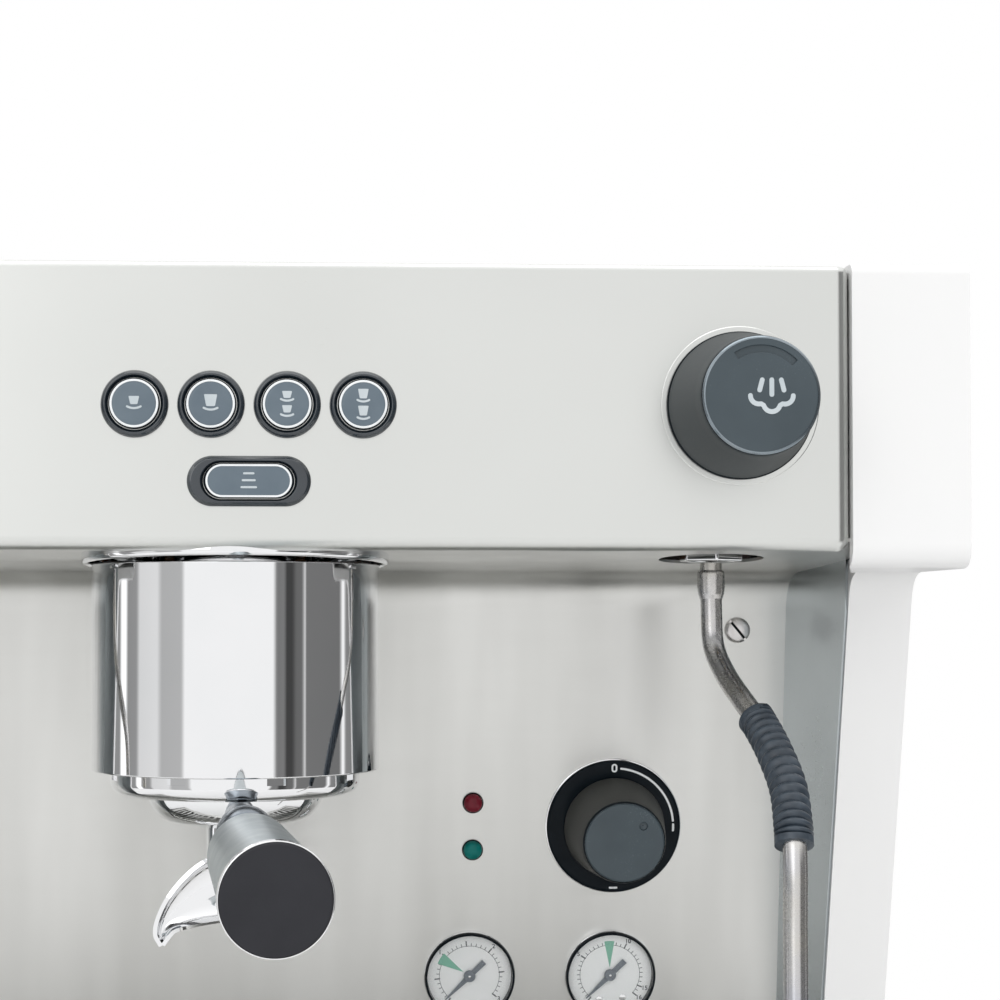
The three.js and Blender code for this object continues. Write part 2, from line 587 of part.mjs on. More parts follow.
buttonPlaces().forEach((x, i) => {
  add(`button_bezel_${i + 1}`, roundBezel(), blackGloss, onHood(x, BUTTON_Z));
  add(`button_cap_${i + 1}`, roundCap(), slate, onHood(x, BUTTON_Z));
});
add('oval_bezel', ovalBezel(), blackGloss, onHood(0, OVAL_Z));
add('oval_cap', ovalCap(), slate, onHood(0, OVAL_Z));
add('steam_knob', valveKnob(), knobGrey, onHood(KNOB_X, KNOB_Z));
add('water_knob', valveKnob(), knobGrey, onHood(-KNOB_X, KNOB_Z));
add('steam_valve', valve(1), brass);
add('water_valve', valve(-1), brass);

add('wand_nut', hexNut(1, 8.9), chrome);
add('wand_ball', wandBall(), chrome);
add('steam_wand', wandTube(), chrome);
add('wand_grip', wandGrip(), rubber);
add('wand_nozzle', wandNozzle(), chrome);
add('water_spout', waterSpout(), chrome);

add('switch_plate', switchPlate(), blackGloss, onSplash(SWITCH));
add('switch_knob', switchKnob(), knobGrey, onSplash(SWITCH));
add('lamp_red', lamp(), redLens, onSplash(LAMP_RED));
add('lamp_green', lamp(), greenLens, onSplash(LAMP_GREEN));
GAUGES_X.forEach((x, i) => {
  const place = onSplash([x, GAUGE_Z]);
  add(`gauge_case_${i + 1}`, gaugeCase(), dialWhite, place);
  add(`gauge_needle_${i + 1}`, needle(), blackMatt, place);
});
add('backsplash_screw', screw(), chrome, onSplash(SCREW));

add('boiler', boiler(), copper);
add('heating_element', heater(), brass);
add('pump_motor', motor(), blackMatt);
add('pump', pump(), brass);
add('solenoid_valve', solenoid(), blackMatt);

export default machine;
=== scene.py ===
import math
from functools import partial

import bmesh
import bpy
from mathutils import Matrix, Vector


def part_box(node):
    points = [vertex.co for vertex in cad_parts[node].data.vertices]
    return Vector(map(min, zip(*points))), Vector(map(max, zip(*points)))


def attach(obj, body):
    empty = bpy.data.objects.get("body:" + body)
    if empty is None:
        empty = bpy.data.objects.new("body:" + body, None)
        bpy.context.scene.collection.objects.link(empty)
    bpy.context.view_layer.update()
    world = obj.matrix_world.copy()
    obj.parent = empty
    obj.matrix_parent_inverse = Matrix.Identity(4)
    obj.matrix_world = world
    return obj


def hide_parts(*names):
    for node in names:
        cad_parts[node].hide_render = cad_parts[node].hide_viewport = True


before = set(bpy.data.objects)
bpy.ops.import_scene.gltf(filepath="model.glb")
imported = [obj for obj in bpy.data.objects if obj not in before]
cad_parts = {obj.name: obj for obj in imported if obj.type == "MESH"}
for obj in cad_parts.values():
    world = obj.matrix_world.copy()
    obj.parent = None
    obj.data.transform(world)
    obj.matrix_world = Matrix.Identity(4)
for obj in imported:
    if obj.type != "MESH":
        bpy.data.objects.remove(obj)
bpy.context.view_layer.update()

MM = 0.001
ROOT = "machine"
FACING = math.pi / 2                 # fittings are modelled facing +Z, then stood up to face -Y
LEAN = math.radians(7.2)             # the backsplash leans back towards its foot


# ---------------------------------------------------------------- places taken from the frame
def low(node):
    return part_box(node)[0] / MM


def high(node):
    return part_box(node)[1] / MM


def mid(node):
    return (low(node) + high(node)) / 2


HOOD_Y = low("hood_front_panel").y
HOOD_Z0, HOOD_Z1 = low("hood_front_panel").z, high("hood_front_panel").z
HOOD_X = high("hood_front_panel").x
PANEL_X = high("side_panel_right").x
PANEL_TOP = high("side_panel_right").z
PANEL_REAR = high("side_panel_right").y
PANEL_FOOT = low("side_panel_right").z
TRAY_FRONT = low("drip_tray").y
WALL_X = high("backsplash").x
SPLASH_FOOT = low("backsplash").z
SPLASH_TOP = high("backsplash").z
SPLASH_TOP_Y = HOOD_Y + 140
UNDER_LIP = 4.6                      # the underside sheet starts this far behind the hood's front
UNDER_FRONT_Z, UNDER_REAR_Z = 375.6, 366.6
COLUMN_TOP_Y, COLUMN_TOP_Z = HOOD_Y + 71, 363
COLUMN_SLOPE = math.tan(math.radians(14.3))
GROUP = mid("shower_screen")
HANDLE_TURN = math.radians(5.2)
HANDLE_Z = 267
WAND = mid("wand_ball")
SWITCH_Z, LAMP_RED_Z, LAMP_GREEN_Z, GAUGE_Z, SCREW_Z = 258.8, 268.9, 248.5, 193.8, 343


def splash_y(z):
    return SPLASH_TOP_Y + (SPLASH_TOP - z) * math.tan(LEAN)


def column_y(z):
    return COLUMN_TOP_Y + (COLUMN_TOP_Z - z) * COLUMN_SLOPE


def shifted(x, y, z):
    """A shift in millimetres, for a bmesh."""
    return Matrix.Translation((x, y, z))


def at(x, y, z=0):
    """A place in millimetres as a matrix in metres."""
    return Matrix.Translation(Vector((x, y, z)) * MM)


def rotated(degrees, axis="Z"):
    return Matrix.Rotation(math.radians(degrees), 4, axis)


def along_handle(y):
    """From a turned body's own axis to the handle's, y millimetres from the group's axis."""
    return shifted(0, y, HANDLE_Z) @ Matrix.Rotation(FACING, 4, "X")


def stood(x, y, z, turn=FACING):
    """The place of a fitting that faces the barista, as a matrix in metres."""
    return at(x, y, z) @ Matrix.Rotation(turn, 4, "X")


def on_hood(x, z):
    return stood(x, HOOD_Y, z)


def on_splash(x, z):
    return stood(x, splash_y(z), z, FACING + LEAN)


def at_group():
    """Local +Z is the group axis and local -Y runs along the locked handle."""
    return at(GROUP.x, GROUP.y) @ Matrix.Rotation(HANDLE_TURN, 4, "Z")


# ---------------------------------------------------------------- outlines
def softened(points, radius, steps=4, closed=False):
    """The line with each of its corners turned into a short curve."""
    points = [Vector(p) for p in points]
    count = len(points)
    made = []
    for i, corner in enumerate(points):
        if not closed and i in (0, count - 1):
            made.append(corner)
            continue
        before, after = points[i - 1] - corner, points[(i + 1) % count] - corner
        reach = min(radius, before.length * 0.48, after.length * 0.48)
        a, b = corner + before.normalized() * reach, corner + after.normalized() * reach
        for k in range(steps + 1):
            t = k / steps
            made.append(a * (1 - t) ** 2 + corner * (2 * t * (1 - t)) + b * t ** 2)
    return made


def arc(radius, start, end, steps, centre=(0, 0)):
    """Points on an arc, with angles in degrees counted from +X."""
    made = []
    for k in range(steps + 1):
        angle = math.radians(start + (end - start) * k / steps)
        made.append(Vector((centre[0] + radius * math.cos(angle), centre[1] + radius * math.sin(angle))))
    return made


def stadium(width, height, steps=24):
    radius = height / 2
    reach = width / 2 - radius
    return arc(radius, -90, 90, steps, (reach, 0)) + arc(radius, 90, 270, steps, (-reach, 0))


def stroke(path, width):
    """The outline of a line of that width with round ends."""
    path = [Vector(p) for p in path]
    left, right = [], []
    for i, point in enumerate(path):
        ahead = path[min(i + 1, len(path) - 1)] - path[max(i - 1, 0)]
        side = Vector((-ahead.y, ahead.x)).normalized() * width / 2
        left.append(point + side)
        right.append(point - side)
    first, last = path[1] - path[0], path[-1] - path[-2]
    start = math.degrees(math.atan2(first.y, first.x))
    end = math.degrees(math.atan2(last.y, last.x))
    tail = arc(width / 2, start + 270, start + 90, 8, path[0])[1:-1]
    nose = arc(width / 2, end + 90, end - 90, 8, path[-1])[1:-1]
    return left + nose + right[::-1] + tail


# ---------------------------------------------------------------- solids, as bmesh in millimetres
def skin(bm, loops):
    """Faces from each loop of vertices to the next, every loop closed on itself."""
    for one, two in zip(loops, loops[1:]):
        for i in range(len(one)):
            j = (i + 1) % len(one)
            bm.faces.new((one[i], one[j], two[j], two[i]))


def turned(profile, steps=96):
    """A turned body about +Z from (radius, height) points, which start and end on the axis or close."""
    bm = bmesh.new()
    points = [Vector(p) for p in profile]
    closed = (points[0] - points[-1]).length < 1e-6
    if closed:
        points.pop()
    rings = []
    for radius, height in points:
        if radius < 1e-6:
            rings.append([bm.verts.new((0, 0, height))])
            continue
        angles = [2 * math.pi * k / steps for k in range(steps)]
        rings.append([bm.verts.new((radius * math.cos(a), radius * math.sin(a), height)) for a in angles])
    pairs = list(zip(rings, rings[1:]))
    if closed:
        pairs.append((rings[-1], rings[0]))
    for one, two in pairs:
        for i in range(steps):
            j = (i + 1) % steps
            corners = [one[i % len(one)], one[j % len(one)], two[j % len(two)], two[i % len(two)]]
            corners = list(dict.fromkeys(corners))
            if len(corners) > 2:
                bm.faces.new(corners)
    bmesh.ops.recalc_face_normals(bm, faces=bm.faces)
    return bm


def lathe(profile, bend, arc_steps, sides):
    """A turned body whose profile has its corners softened."""
    return turned(softened(profile, bend, arc_steps), sides)


def prism(outline, z0, z1, into=None):
    """An outline of x and y raised from z0 to z1."""
    bm = into or bmesh.new()
    lower = [bm.verts.new((p[0], p[1], z0)) for p in outline]
    upper = [bm.verts.new((p[0], p[1], z1)) for p in outline]
    made = [bm.faces.new(lower[::-1]), bm.faces.new(upper)]
    for i in range(len(outline)):
        j = (i + 1) % len(outline)
        made.append(bm.faces.new((lower[i], lower[j], upper[j], upper[i])))
    bmesh.ops.recalc_face_normals(bm, faces=made)
    return bm


def ring_prism(outer, inner, z0, z1):
    """A wall between two outlines with the same number of points."""
    bm = bmesh.new()
    loops = []
    for outline, z in ((outer, z0), (outer, z1), (inner, z1), (inner, z0)):
        loops.append([bm.verts.new((p[0], p[1], z)) for p in outline])
    skin(bm, loops + loops[:1])
    bmesh.ops.recalc_face_normals(bm, faces=bm.faces)
    return bm


def across(outline, x0, x1):
    """An outline of y and z drawn out from x0 to x1."""
    bm = prism(outline, x0, x1)
    bm.transform(Matrix(((0, 0, 1, 0), (1, 0, 0, 0), (0, 1, 0, 0), (0, 0, 0, 1))))
    return bm


def block(x0, x1, y0, y1, z0, z1):
    return prism([(x0, y0), (x1, y0), (x1, y1), (x0, y1)], z0, z1)


def curve_through(points, steps):
    """Evenly numbered points on a smooth curve through the given ones."""
    knots = [Vector(p) for p in points]
    knots = [knots[0] * 2 - knots[1]] + knots + [knots[-1] * 2 - knots[-2]]
    made = []
    for i in range(1, len(knots) - 2):
        a, b, c, d = knots[i - 1:i + 3]
        for k in range(steps):
            t = k / steps
            made.append(0.5 * (2 * b + (c - a) * t + (2 * a - 5 * b + 4 * c - d) * t ** 2
                               + (3 * b - a - 3 * c + d) * t ** 3))
    return made + [knots[-2]]


def swept(path, radii, sides=32):
    """A closed tube along path. radii is one radius, or one for each point."""
    if not hasattr(radii, "__len__"):
        radii = [radii] * len(path)
    bm = bmesh.new()
    rings = []
    tangent = (path[1] - path[0]).normalized()
    side = tangent.orthogonal().normalized()
    for i, point in enumerate(path):
        ahead = (path[min(i + 1, len(path) - 1)] - path[max(i - 1, 0)]).normalized()
        side = tangent.rotation_difference(ahead) @ side
        tangent = ahead
        other = tangent.cross(side)
        angles = [2 * math.pi * k / sides for k in range(sides)]
        spokes = [side * math.cos(a) + other * math.sin(a) for a in angles]
        rings.append([bm.verts.new(point + spoke * radii[i]) for spoke in spokes])
    skin(bm, rings)
    bm.faces.new(rings[0][::-1])
    bm.faces.new(rings[-1])
    bmesh.ops.recalc_face_normals(bm, faces=bm.faces)
    return bm


def linked(name, data):
    """A new object in the scene that shows this data."""
    made = bpy.data.objects.new(name, data)
    bpy.context.scene.collection.objects.link(made)
    return made


def mesh_of(name, bm):
    """The bmesh as mesh data. The bmesh is used up."""
    mesh = bpy.data.meshes.new(name)
    bm.to_mesh(mesh)
    bm.free()
    return mesh


def together(*bodies):
    """Several bodies in one bmesh."""
    whole = bodies[0]
    for body in bodies[1:]:
        copy = mesh_of("part", body)
        whole.from_mesh(copy)
        bpy.data.meshes.remove(copy)
    return whole


def piece(name, bm, material, body=ROOT, stands_for=(), slot=None, place=None, bevel=0, segments=3,
          sharp=32):
    """Turns a bmesh in millimetres into a piece of the object that rides on a CAD body."""
    bm.transform(Matrix.Scale(MM, 4))
    if place is not None:
        bm.transform(place)
    limit = math.radians(sharp)
    for face in bm.faces:
        face.smooth = True
    for edge in bm.edges:
        edge.smooth = len(edge.link_faces) == 2 and edge.calc_face_angle(0) < limit
    mesh = mesh_of(name, bm)
    mesh.materials.append(material)
    made = linked(name, mesh)
    if bevel:
        add_bevel(made, bevel, segments)
    weigh_normals(made)
    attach(made, body)
    if stands_for:
        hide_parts(*stands_for)
    return made


def weigh_normals(target):
    """Keeps flat faces flat in the light where they run into small rounded edges."""
    modifier = target.modifiers.new("normals", "WEIGHTED_NORMAL")
    modifier.keep_sharp = True


def make_temporary(bm):
    """A bmesh in millimetres as a loose object, for a boolean."""
    return linked("temporary", mesh_of("temporary", bm))


def evaluated_mesh(target):
    bpy.context.view_layer.update()
    return bpy.data.meshes.new_from_object(target.evaluated_get(bpy.context.evaluated_depsgraph_get()))


def carved(bm, *tools):
    """The body with each of the tools cut out of it."""
    target = make_temporary(bm)
    for tool in tools:
        modifier = target.modifiers.new("cut", "BOOLEAN")
        modifier.operation = "DIFFERENCE"
        modifier.solver = "EXACT"
        modifier.object = make_temporary(tool)
        result = evaluated_mesh(target)
        bpy.data.objects.remove(modifier.object)
        target.modifiers.clear()
        target.data = result
    made = bmesh.new()
    made.from_mesh(target.data)
    bpy.data.objects.remove(target)
    return made


def add_bevel(target, width, segments=3, angle=35):
    modifier = target.modifiers.new("edge", "BEVEL")
    modifier.width = width * MM
    modifier.segments = segments
    modifier.limit_method = "ANGLE"
    modifier.angle_limit = math.radians(angle)
    modifier.harden_normals = True
    modifier.miter_outer = "MITER_ARC"


# ---------------------------------------------------------------- materials
def feed(tree, value, socket):
    """Gives a socket a value, or links it to another node's output."""
    if isinstance(value, bpy.types.NodeSocket):
        tree.links.new(value, socket)
    else:
        socket.default_value = value


def add_node(tree, kind, inputs=(), **settings):
    """A new node. inputs says what each of its sockets is fed with, by name or number."""
    made = tree.nodes.new(f"ShaderNode{kind}")
    for name, value in settings.items():
        setattr(made, name, value)
    for name, value in dict(inputs).items():
        feed(tree, value, made.inputs[name])
    return made


def calculated(tree, operation, *values):
    return add_node(tree, "Math", dict(enumerate(values)), operation=operation).outputs["Value"]


def noise(tree, scale, detail=4, stretch=(1, 1, 1)):
    """Noise over object space, in metres, stretched along the axes with small numbers."""
    coordinates = add_node(tree, "TexCoord").outputs["Object"]
    mapped = add_node(tree, "Mapping", {"Vector": coordinates, "Scale": stretch}).outputs["Vector"]
    return add_node(tree, "TexNoise", {"Vector": mapped, "Scale": scale, "Detail": detail}).outputs["Fac"]


def between(tree, factor, low_value, high_value, start=0.3, end=0.7):
    """Maps a factor, from start to end, onto a range of numbers."""
    inputs = {"Value": factor, "From Min": start, "From Max": end, "To Min": low_value,
              "To Max": high_value}
    return add_node(tree, "MapRange", inputs).outputs["Result"]


def blend_colours(tree, factor, one, two):
    return add_node(tree, "Mix", {"Factor": factor, "A": one, "B": two}, data_type="RGBA").outputs["Result"]


def surface(name, one, two, roughness, metallic=0.0, patch=30, grain=900, stretch=(1, 1, 1), bump=0.05,
            depth=0.05, drift_stretch=(1, 1, 1), **sockets):
    """A surface whose colour and roughness drift in patches and whose fine grain is a bump.

    one and two are linear colours, roughness is a (low, high) pair, patch and grain are noise
    scales per metre, stretch shapes the grain, and depth is the grain's height in millimetres.
    """
    material = bpy.data.materials.new(name)
    material.use_nodes = True
    tree = material.node_tree
    shader = tree.nodes["Principled BSDF"]
    shader.inputs["Metallic"].default_value = metallic
    for socket, value in sockets.items():
        shader.inputs[socket.replace("_", " ")].default_value = value
    drift = noise(tree, patch, 3, drift_stretch)
    fine = noise(tree, grain, 5, stretch)
    feed(tree, blend_colours(tree, between(tree, drift, 0, 1), (*one, 1), (*two, 1)),
         shader.inputs["Base Color"])
    mean = calculated(tree, "MULTIPLY_ADD", fine, 0.5, calculated(tree, "MULTIPLY", drift, 0.5))
    feed(tree, between(tree, mean, *roughness), shader.inputs["Roughness"])
    relief = add_node(tree, "Bump", {"Strength": bump, "Distance": depth * MM, "Height": fine})
    feed(tree, relief.outputs["Normal"], shader.inputs["Normal"])
    return material


def brushed(name, one, two, roughness, stretch, bump, anisotropy, drift=(1, 1, 1), patch=6):
    """Brushed sheet: streaks along the axis with the small stretch, and a highlight across them."""
    material = surface(name, one, two, roughness, 1.0, patch, 60, stretch, bump, 0.02, drift,
                       Anisotropic=anisotropy)
    tree = material.node_tree
    shader = tree.nodes["Principled BSDF"]
    shader.inputs["Anisotropic Rotation"].default_value = 0.25
    tangent = add_node(tree, "Tangent", direction_type="RADIAL", axis="Z")
    feed(tree, tangent.outputs["Tangent"], shader.inputs["Tangent"])
    return material


STREAKS_X = (0.4, 22, 22)
FINE_STREAKS_X = (1.5, 60, 60)
REFLECTION_BANDS_Z = (20, 20, 1.5)
STEEL_HOOD = brushed("steel_hood", (0.70, 0.71, 0.69), (0.74, 0.75, 0.73), (0.27, 0.34), FINE_STREAKS_X,
                     0.02, 0.3)
# Painted reflection: the backsplash's colour runs darker and lighter in upright bands across the sheet,
# standing in for the upright bands it reflects; the fine streaks are the brushing.
STEEL_SPLASH = brushed("steel_backsplash", (0.58, 0.58, 0.56), (0.79, 0.79, 0.77), (0.27, 0.36),
                       STREAKS_X, 0.20, 0.8, REFLECTION_BANDS_Z, 1)
# Painted shade: the cheeks are the backsplash's brushed steel made darker and bluer, as it looks in the
# shade beside the back wall.
STEEL_CHEEK_SHADED = brushed("steel_cheek_painted_shade", (0.50, 0.54, 0.56), (0.64, 0.69, 0.71), (0.26, 0.36), STREAKS_X,
                      0.14, 0.6)
STEEL_PLAIN = brushed("steel_plain", (0.60, 0.60, 0.58), (0.68, 0.68, 0.66), (0.28, 0.42), STREAKS_X,
                      0.12, 0.4)
STEEL_DEEP = surface("steel_deep", (0.44, 0.44, 0.43), (0.56, 0.56, 0.55), (0.3, 0.45), 1.0, grain=500)
CHROME = surface("chrome", (0.84, 0.85, 0.86), (0.88, 0.88, 0.89), (0.02, 0.05), 1.0, patch=25,
                 grain=400, bump=0.008)
WAND_STEEL = surface("wand_steel", (0.54, 0.545, 0.585), (0.65, 0.625, 0.57), (0.23, 0.31), 1.0,
                     patch=45, grain=900, bump=0.06)
NECK_METAL = surface("neck_metal", (0.24, 0.27, 0.30), (0.34, 0.375, 0.41), (0.16, 0.28), 1.0, patch=60,
                     grain=900, bump=0.03)
WHITE = surface("white_paint", (0.865, 0.865, 0.865), (0.88, 0.88, 0.876), (0.28, 0.33), patch=5,
                grain=500, bump=0.006, Coat_Weight=0.25, Coat_Roughness=0.14)
BLACK_GLOSS = surface("black_gloss", (0.003, 0.006, 0.009), (0.008, 0.012, 0.016), (0.10, 0.18),
                      patch=60, grain=500, bump=0.03, Specular_IOR_Level=0.09)
BEZEL_GLOSS = surface("bezel_gloss", (0.012, 0.018, 0.025), (0.020, 0.029, 0.038), (0.08, 0.16),
                      patch=60, grain=500, bump=0.03, Specular_IOR_Level=0.75, Coat_Weight=0.4,
                      Coat_Roughness=0.08)
CAP_SLATE = surface("cap_slate", (0.115, 0.152, 0.186), (0.140, 0.180, 0.214), (0.34, 0.44), patch=80,
                    grain=1500, Specular_IOR_Level=0.4)
KNOB_GREY = surface("knob_grey", (0.040, 0.047, 0.050), (0.052, 0.060, 0.063), (0.50, 0.60), patch=50,
                    grain=2200, bump=0.12, Specular_IOR_Level=0.35)
SKIRT_GREY = surface("skirt_grey", (0.058, 0.060, 0.056), (0.074, 0.076, 0.071), (0.5, 0.6), patch=50,
                     grain=2200, bump=0.12, Specular_IOR_Level=0.35)
FACE_SLATE = surface("face_slate", (0.040, 0.058, 0.070), (0.056, 0.078, 0.092), (0.20, 0.30), patch=40,
                     grain=1800, bump=0.03, Specular_IOR_Level=0.5)
RIM_SLATE = surface("rim_slate", (0.22, 0.26, 0.29), (0.32, 0.36, 0.39), (0.14, 0.24), 0.9, patch=40,
                    grain=1800, bump=0.02)
ICON = surface("icon_print", (0.50, 0.56, 0.59), (0.58, 0.63, 0.66), (0.4, 0.5), patch=90, grain=1800)
PRINT_WHITE = surface("print_white", (0.80, 0.83, 0.84), (0.88, 0.90, 0.91), (0.35, 0.45), patch=90,
                      grain=1800)
PRINT_DARK = surface("print_dark", (0.05, 0.06, 0.07), (0.08, 0.09, 0.10), (0.4, 0.5), patch=90,
                     grain=1800)
DIAL = surface("dial_white", (0.90, 0.92, 0.92), (0.94, 0.95, 0.95), (0.4, 0.5), patch=60, grain=1500)
DIAL_GREEN = surface("dial_green", (0.16, 0.46, 0.33), (0.20, 0.52, 0.38), (0.4, 0.5), patch=90,
                     grain=1500)
NEEDLE = surface("needle_slate", (0.10, 0.12, 0.15), (0.13, 0.155, 0.185), (0.35, 0.45), patch=90,
                 grain=1500)
CAP_BLACK = surface("handle_cap_black", (0.019, 0.0195, 0.024), (0.027, 0.0275, 0.033), (0.55, 0.7),
                    patch=60, grain=2600, bump=0.15, Specular_IOR_Level=0.3)
SATIN = surface("satin_alloy", (0.37, 0.42, 0.44), (0.52, 0.56, 0.57), (0.32, 0.46), 1.0, patch=110,
                grain=2400, bump=0.2, depth=0.04)
SATIN_SILVER = surface("satin_silver", (0.62, 0.60, 0.59), (0.72, 0.70, 0.69), (0.24, 0.36), 1.0,
                       patch=120, grain=1500, bump=0.08)
RUBBER = surface("rubber", (0.024, 0.034, 0.047), (0.054, 0.072, 0.093), (0.30, 0.44), patch=200,
                 grain=1600, bump=0.35, depth=0.12)
FOOT_RUBBER = surface("foot_rubber", (0.015, 0.015, 0.016), (0.03, 0.03, 0.03), (0.6, 0.8), patch=80,
                      grain=1200, bump=0.3)
BRASS = surface("brass", (0.55, 0.38, 0.13), (0.66, 0.48, 0.20), (0.22, 0.4), 1.0, patch=60, grain=700,
                bump=0.08)
COPPER = surface("copper", (0.60, 0.28, 0.14), (0.72, 0.38, 0.22), (0.25, 0.45), 1.0, patch=30,
                 grain=500, bump=0.1)
RED_LENS = surface("red_lens", (0.13, 0.010, 0.020), (0.20, 0.018, 0.032), (0.08, 0.16), patch=300,
                   grain=900, Specular_IOR_Level=0.2)
GREEN_LENS = surface("green_lens", (0.002, 0.13, 0.115), (0.005, 0.19, 0.17), (0.08, 0.16), patch=300,
                     grain=900, Specular_IOR_Level=0.18)
GLASS = surface("gauge_glass", (0.9, 0.95, 0.94), (0.95, 0.97, 0.96), (0.0, 0.03), patch=40, grain=300,
                bump=0.0, Alpha=0.05)


# ---------------------------------------------------------------- panels
def side_panel_outline():
    """The side panel in y and z: hood, raked column and the foot beside the drip tray."""
    foot_y = column_y(126)
    corners = [
        (HOOD_Y, PANEL_TOP), (HOOD_Y, 366), (COLUMN_TOP_Y, 366), (column_y(160), 160), (foot_y + 2, 121),
        (TRAY_FRONT, 117.5), (TRAY_FRONT, PANEL_FOOT), (PANEL_REAR, PANEL_FOOT), (PANEL_REAR, PANEL_TOP),
    ]
    bends = [4, 9, 11, 34, 26, 9, 6, 6, 5]
    made = []
    for i, (corner, bend) in enumerate(zip(corners, bends)):
        three = [corners[i - 1], corner, corners[(i + 1) % len(corners)]]
        made += softened(three, bend, 8)[1:-1]
    return made


def side_panels():
    """Each white side is a wide shell beside the hood over a thinner column, with one soft outer edge."""
    inner_hood, inner_column = HOOD_X + 0.5, WALL_X + 3.6
    for side, name in ((1, "right"), (-1, "left")):
        below = block(inner_hood - 5, inner_column, -400, 400, -10, 365.8)
        slanted = [(inner_hood, HOOD_Y + 5), (inner_column, COLUMN_TOP_Y), (inner_column, 240),
                   (inner_hood - 5, 240)]
        inside = across(inset_panel(), inner_hood - 5, PANEL_X - 4)
        bm = carved(across(side_panel_outline(), inner_hood, PANEL_X), below, prism(slanted, 360, 379),
                    inside)
        if side < 0:
            bm.transform(Matrix.Scale(-1, 4, (1, 0, 0)))
            bmesh.ops.reverse_faces(bm, faces=bm.faces)
        weights = bm.edges.layers.float.new("bevel_weight_edge")
        for edge in bm.edges:
            if len(edge.link_faces) == 2 and edge.calc_face_angle(0) > math.radians(50):
                edge[weights] = 1 if all(abs(v.co.x) > PANEL_X - 0.1 for v in edge.verts) else 0.12
        made = piece(f"side_shell_{name}", bm, WHITE, stands_for=[f"side_panel_{name}"], bevel=5,
                     segments=8)
        made.modifiers["edge"].limit_method = "WEIGHT"


def inset_panel():
    return [
        (HOOD_Y + 5, PANEL_TOP - 5), (HOOD_Y + 5, 371), (COLUMN_TOP_Y + 4, 371), (column_y(165) + 5, 165),
        (column_y(118) + 16, 114), (TRAY_FRONT + 5, 110), (TRAY_FRONT + 5, PANEL_FOOT + 5),
        (PANEL_REAR - 5, PANEL_FOOT + 5), (PANEL_REAR - 5, PANEL_TOP - 5),
    ]


HOOD_SHEET = 1.2
SIDE_BEND, TOP_BEND, BOTTOM_BEND = 5.2, 2.4, 5.0


def roll(bm, edges, width):
    bmesh.ops.bevel(bm, geom=edges, offset=width, segments=8, profile=0.5, affect="EDGES")


def hood_block(inset, depth):
    """The hood's box, smaller by inset all round, with the edges of its front face rolled back."""
    x, y, z0, z1 = HOOD_X - inset, HOOD_Y + inset, HOOD_Z0 + inset, HOOD_Z1 - inset
    bm = block(-x, x, y, HOOD_Y + depth, z0, z1)
    front = [e for e in bm.edges if all(v.co.y < y + 0.1 for v in e.verts)]
    roll(bm, [e for e in front if abs(e.verts[0].co.z - e.verts[1].co.z) > 1], SIDE_BEND - inset)
    reach = y + SIDE_BEND - inset + 0.1
    for level, bend in ((z1, TOP_BEND), (z0, BOTTOM_BEND)):
        rim = [e for e in bm.edges if all(v.co.y < reach and abs(v.co.z - level) < 0.1 for v in e.verts)]
        roll(bm, rim, bend - inset)
    return bm


def hood_front():
    """The folded front sheet: its four edges are rolled back, and it is open behind."""
    depth, flange = 20, 6.2
    open_foot = block(-300, 300, HOOD_Y + flange, 300, HOOD_Z0 - 5, HOOD_Z0 + 3)
    sheet = carved(hood_block(0, depth), hood_block(HOOD_SHEET, depth + 5), open_foot)
    piece("hood_sheet", sheet, STEEL_HOOD, stands_for=["hood_front_panel"], sharp=40)


def plate(line, thickness):
    """A polyline of y and z with a sheet's thickness added on its left."""
    offset = []
    for i, point in enumerate(line):
        ahead = (line[min(i + 1, len(line) - 1)] - line[max(i - 1, 0)]).normalized()
        offset.append(point + Vector((-ahead.y, ahead.x)) * thickness)
    return list(line) + offset[::-1]


def underside_z(y):
    """Height of the sloping sheet under the hood."""
    front = HOOD_Y + UNDER_LIP
    share = (y - front) / (SPLASH_TOP_Y - front)
    return UNDER_FRONT_Z + (UNDER_REAR_Z - UNDER_FRONT_Z) * share


def backsplash():
    """One brushed sheet: the sloping underside of the hood, a wide bend and the back wall."""
    edge_x, sheet = WALL_X + 2.4, 1.2
    front = HOOD_Y + UNDER_LIP
    corners = [(front, underside_z(front)), (SPLASH_TOP_Y + 0.4, UNDER_REAR_Z),
               (splash_y(SPLASH_FOOT), SPLASH_FOOT)]
    line = softened(corners, 15, 16)
    holes = []
    for radius, sides, x, y in ((57.4, 128, GROUP.x, GROUP.y), (20.4, 96, WAND.x, WAND.y),
                                (20.4, 96, -WAND.x, WAND.y)):
        hole = turned([(0, 355), (radius, 355), (radius, 385), (0, 385)], sides)
        hole.transform(shifted(x, y, 0))
        holes.append(hole)
    whole = carved(across(plate(line, sheet), -edge_x, edge_x), *holes)
    piece("backsplash_sheet", whole, STEEL_SPLASH, stands_for=["backsplash", "hood_underside"], sharp=40)
    side_walls()


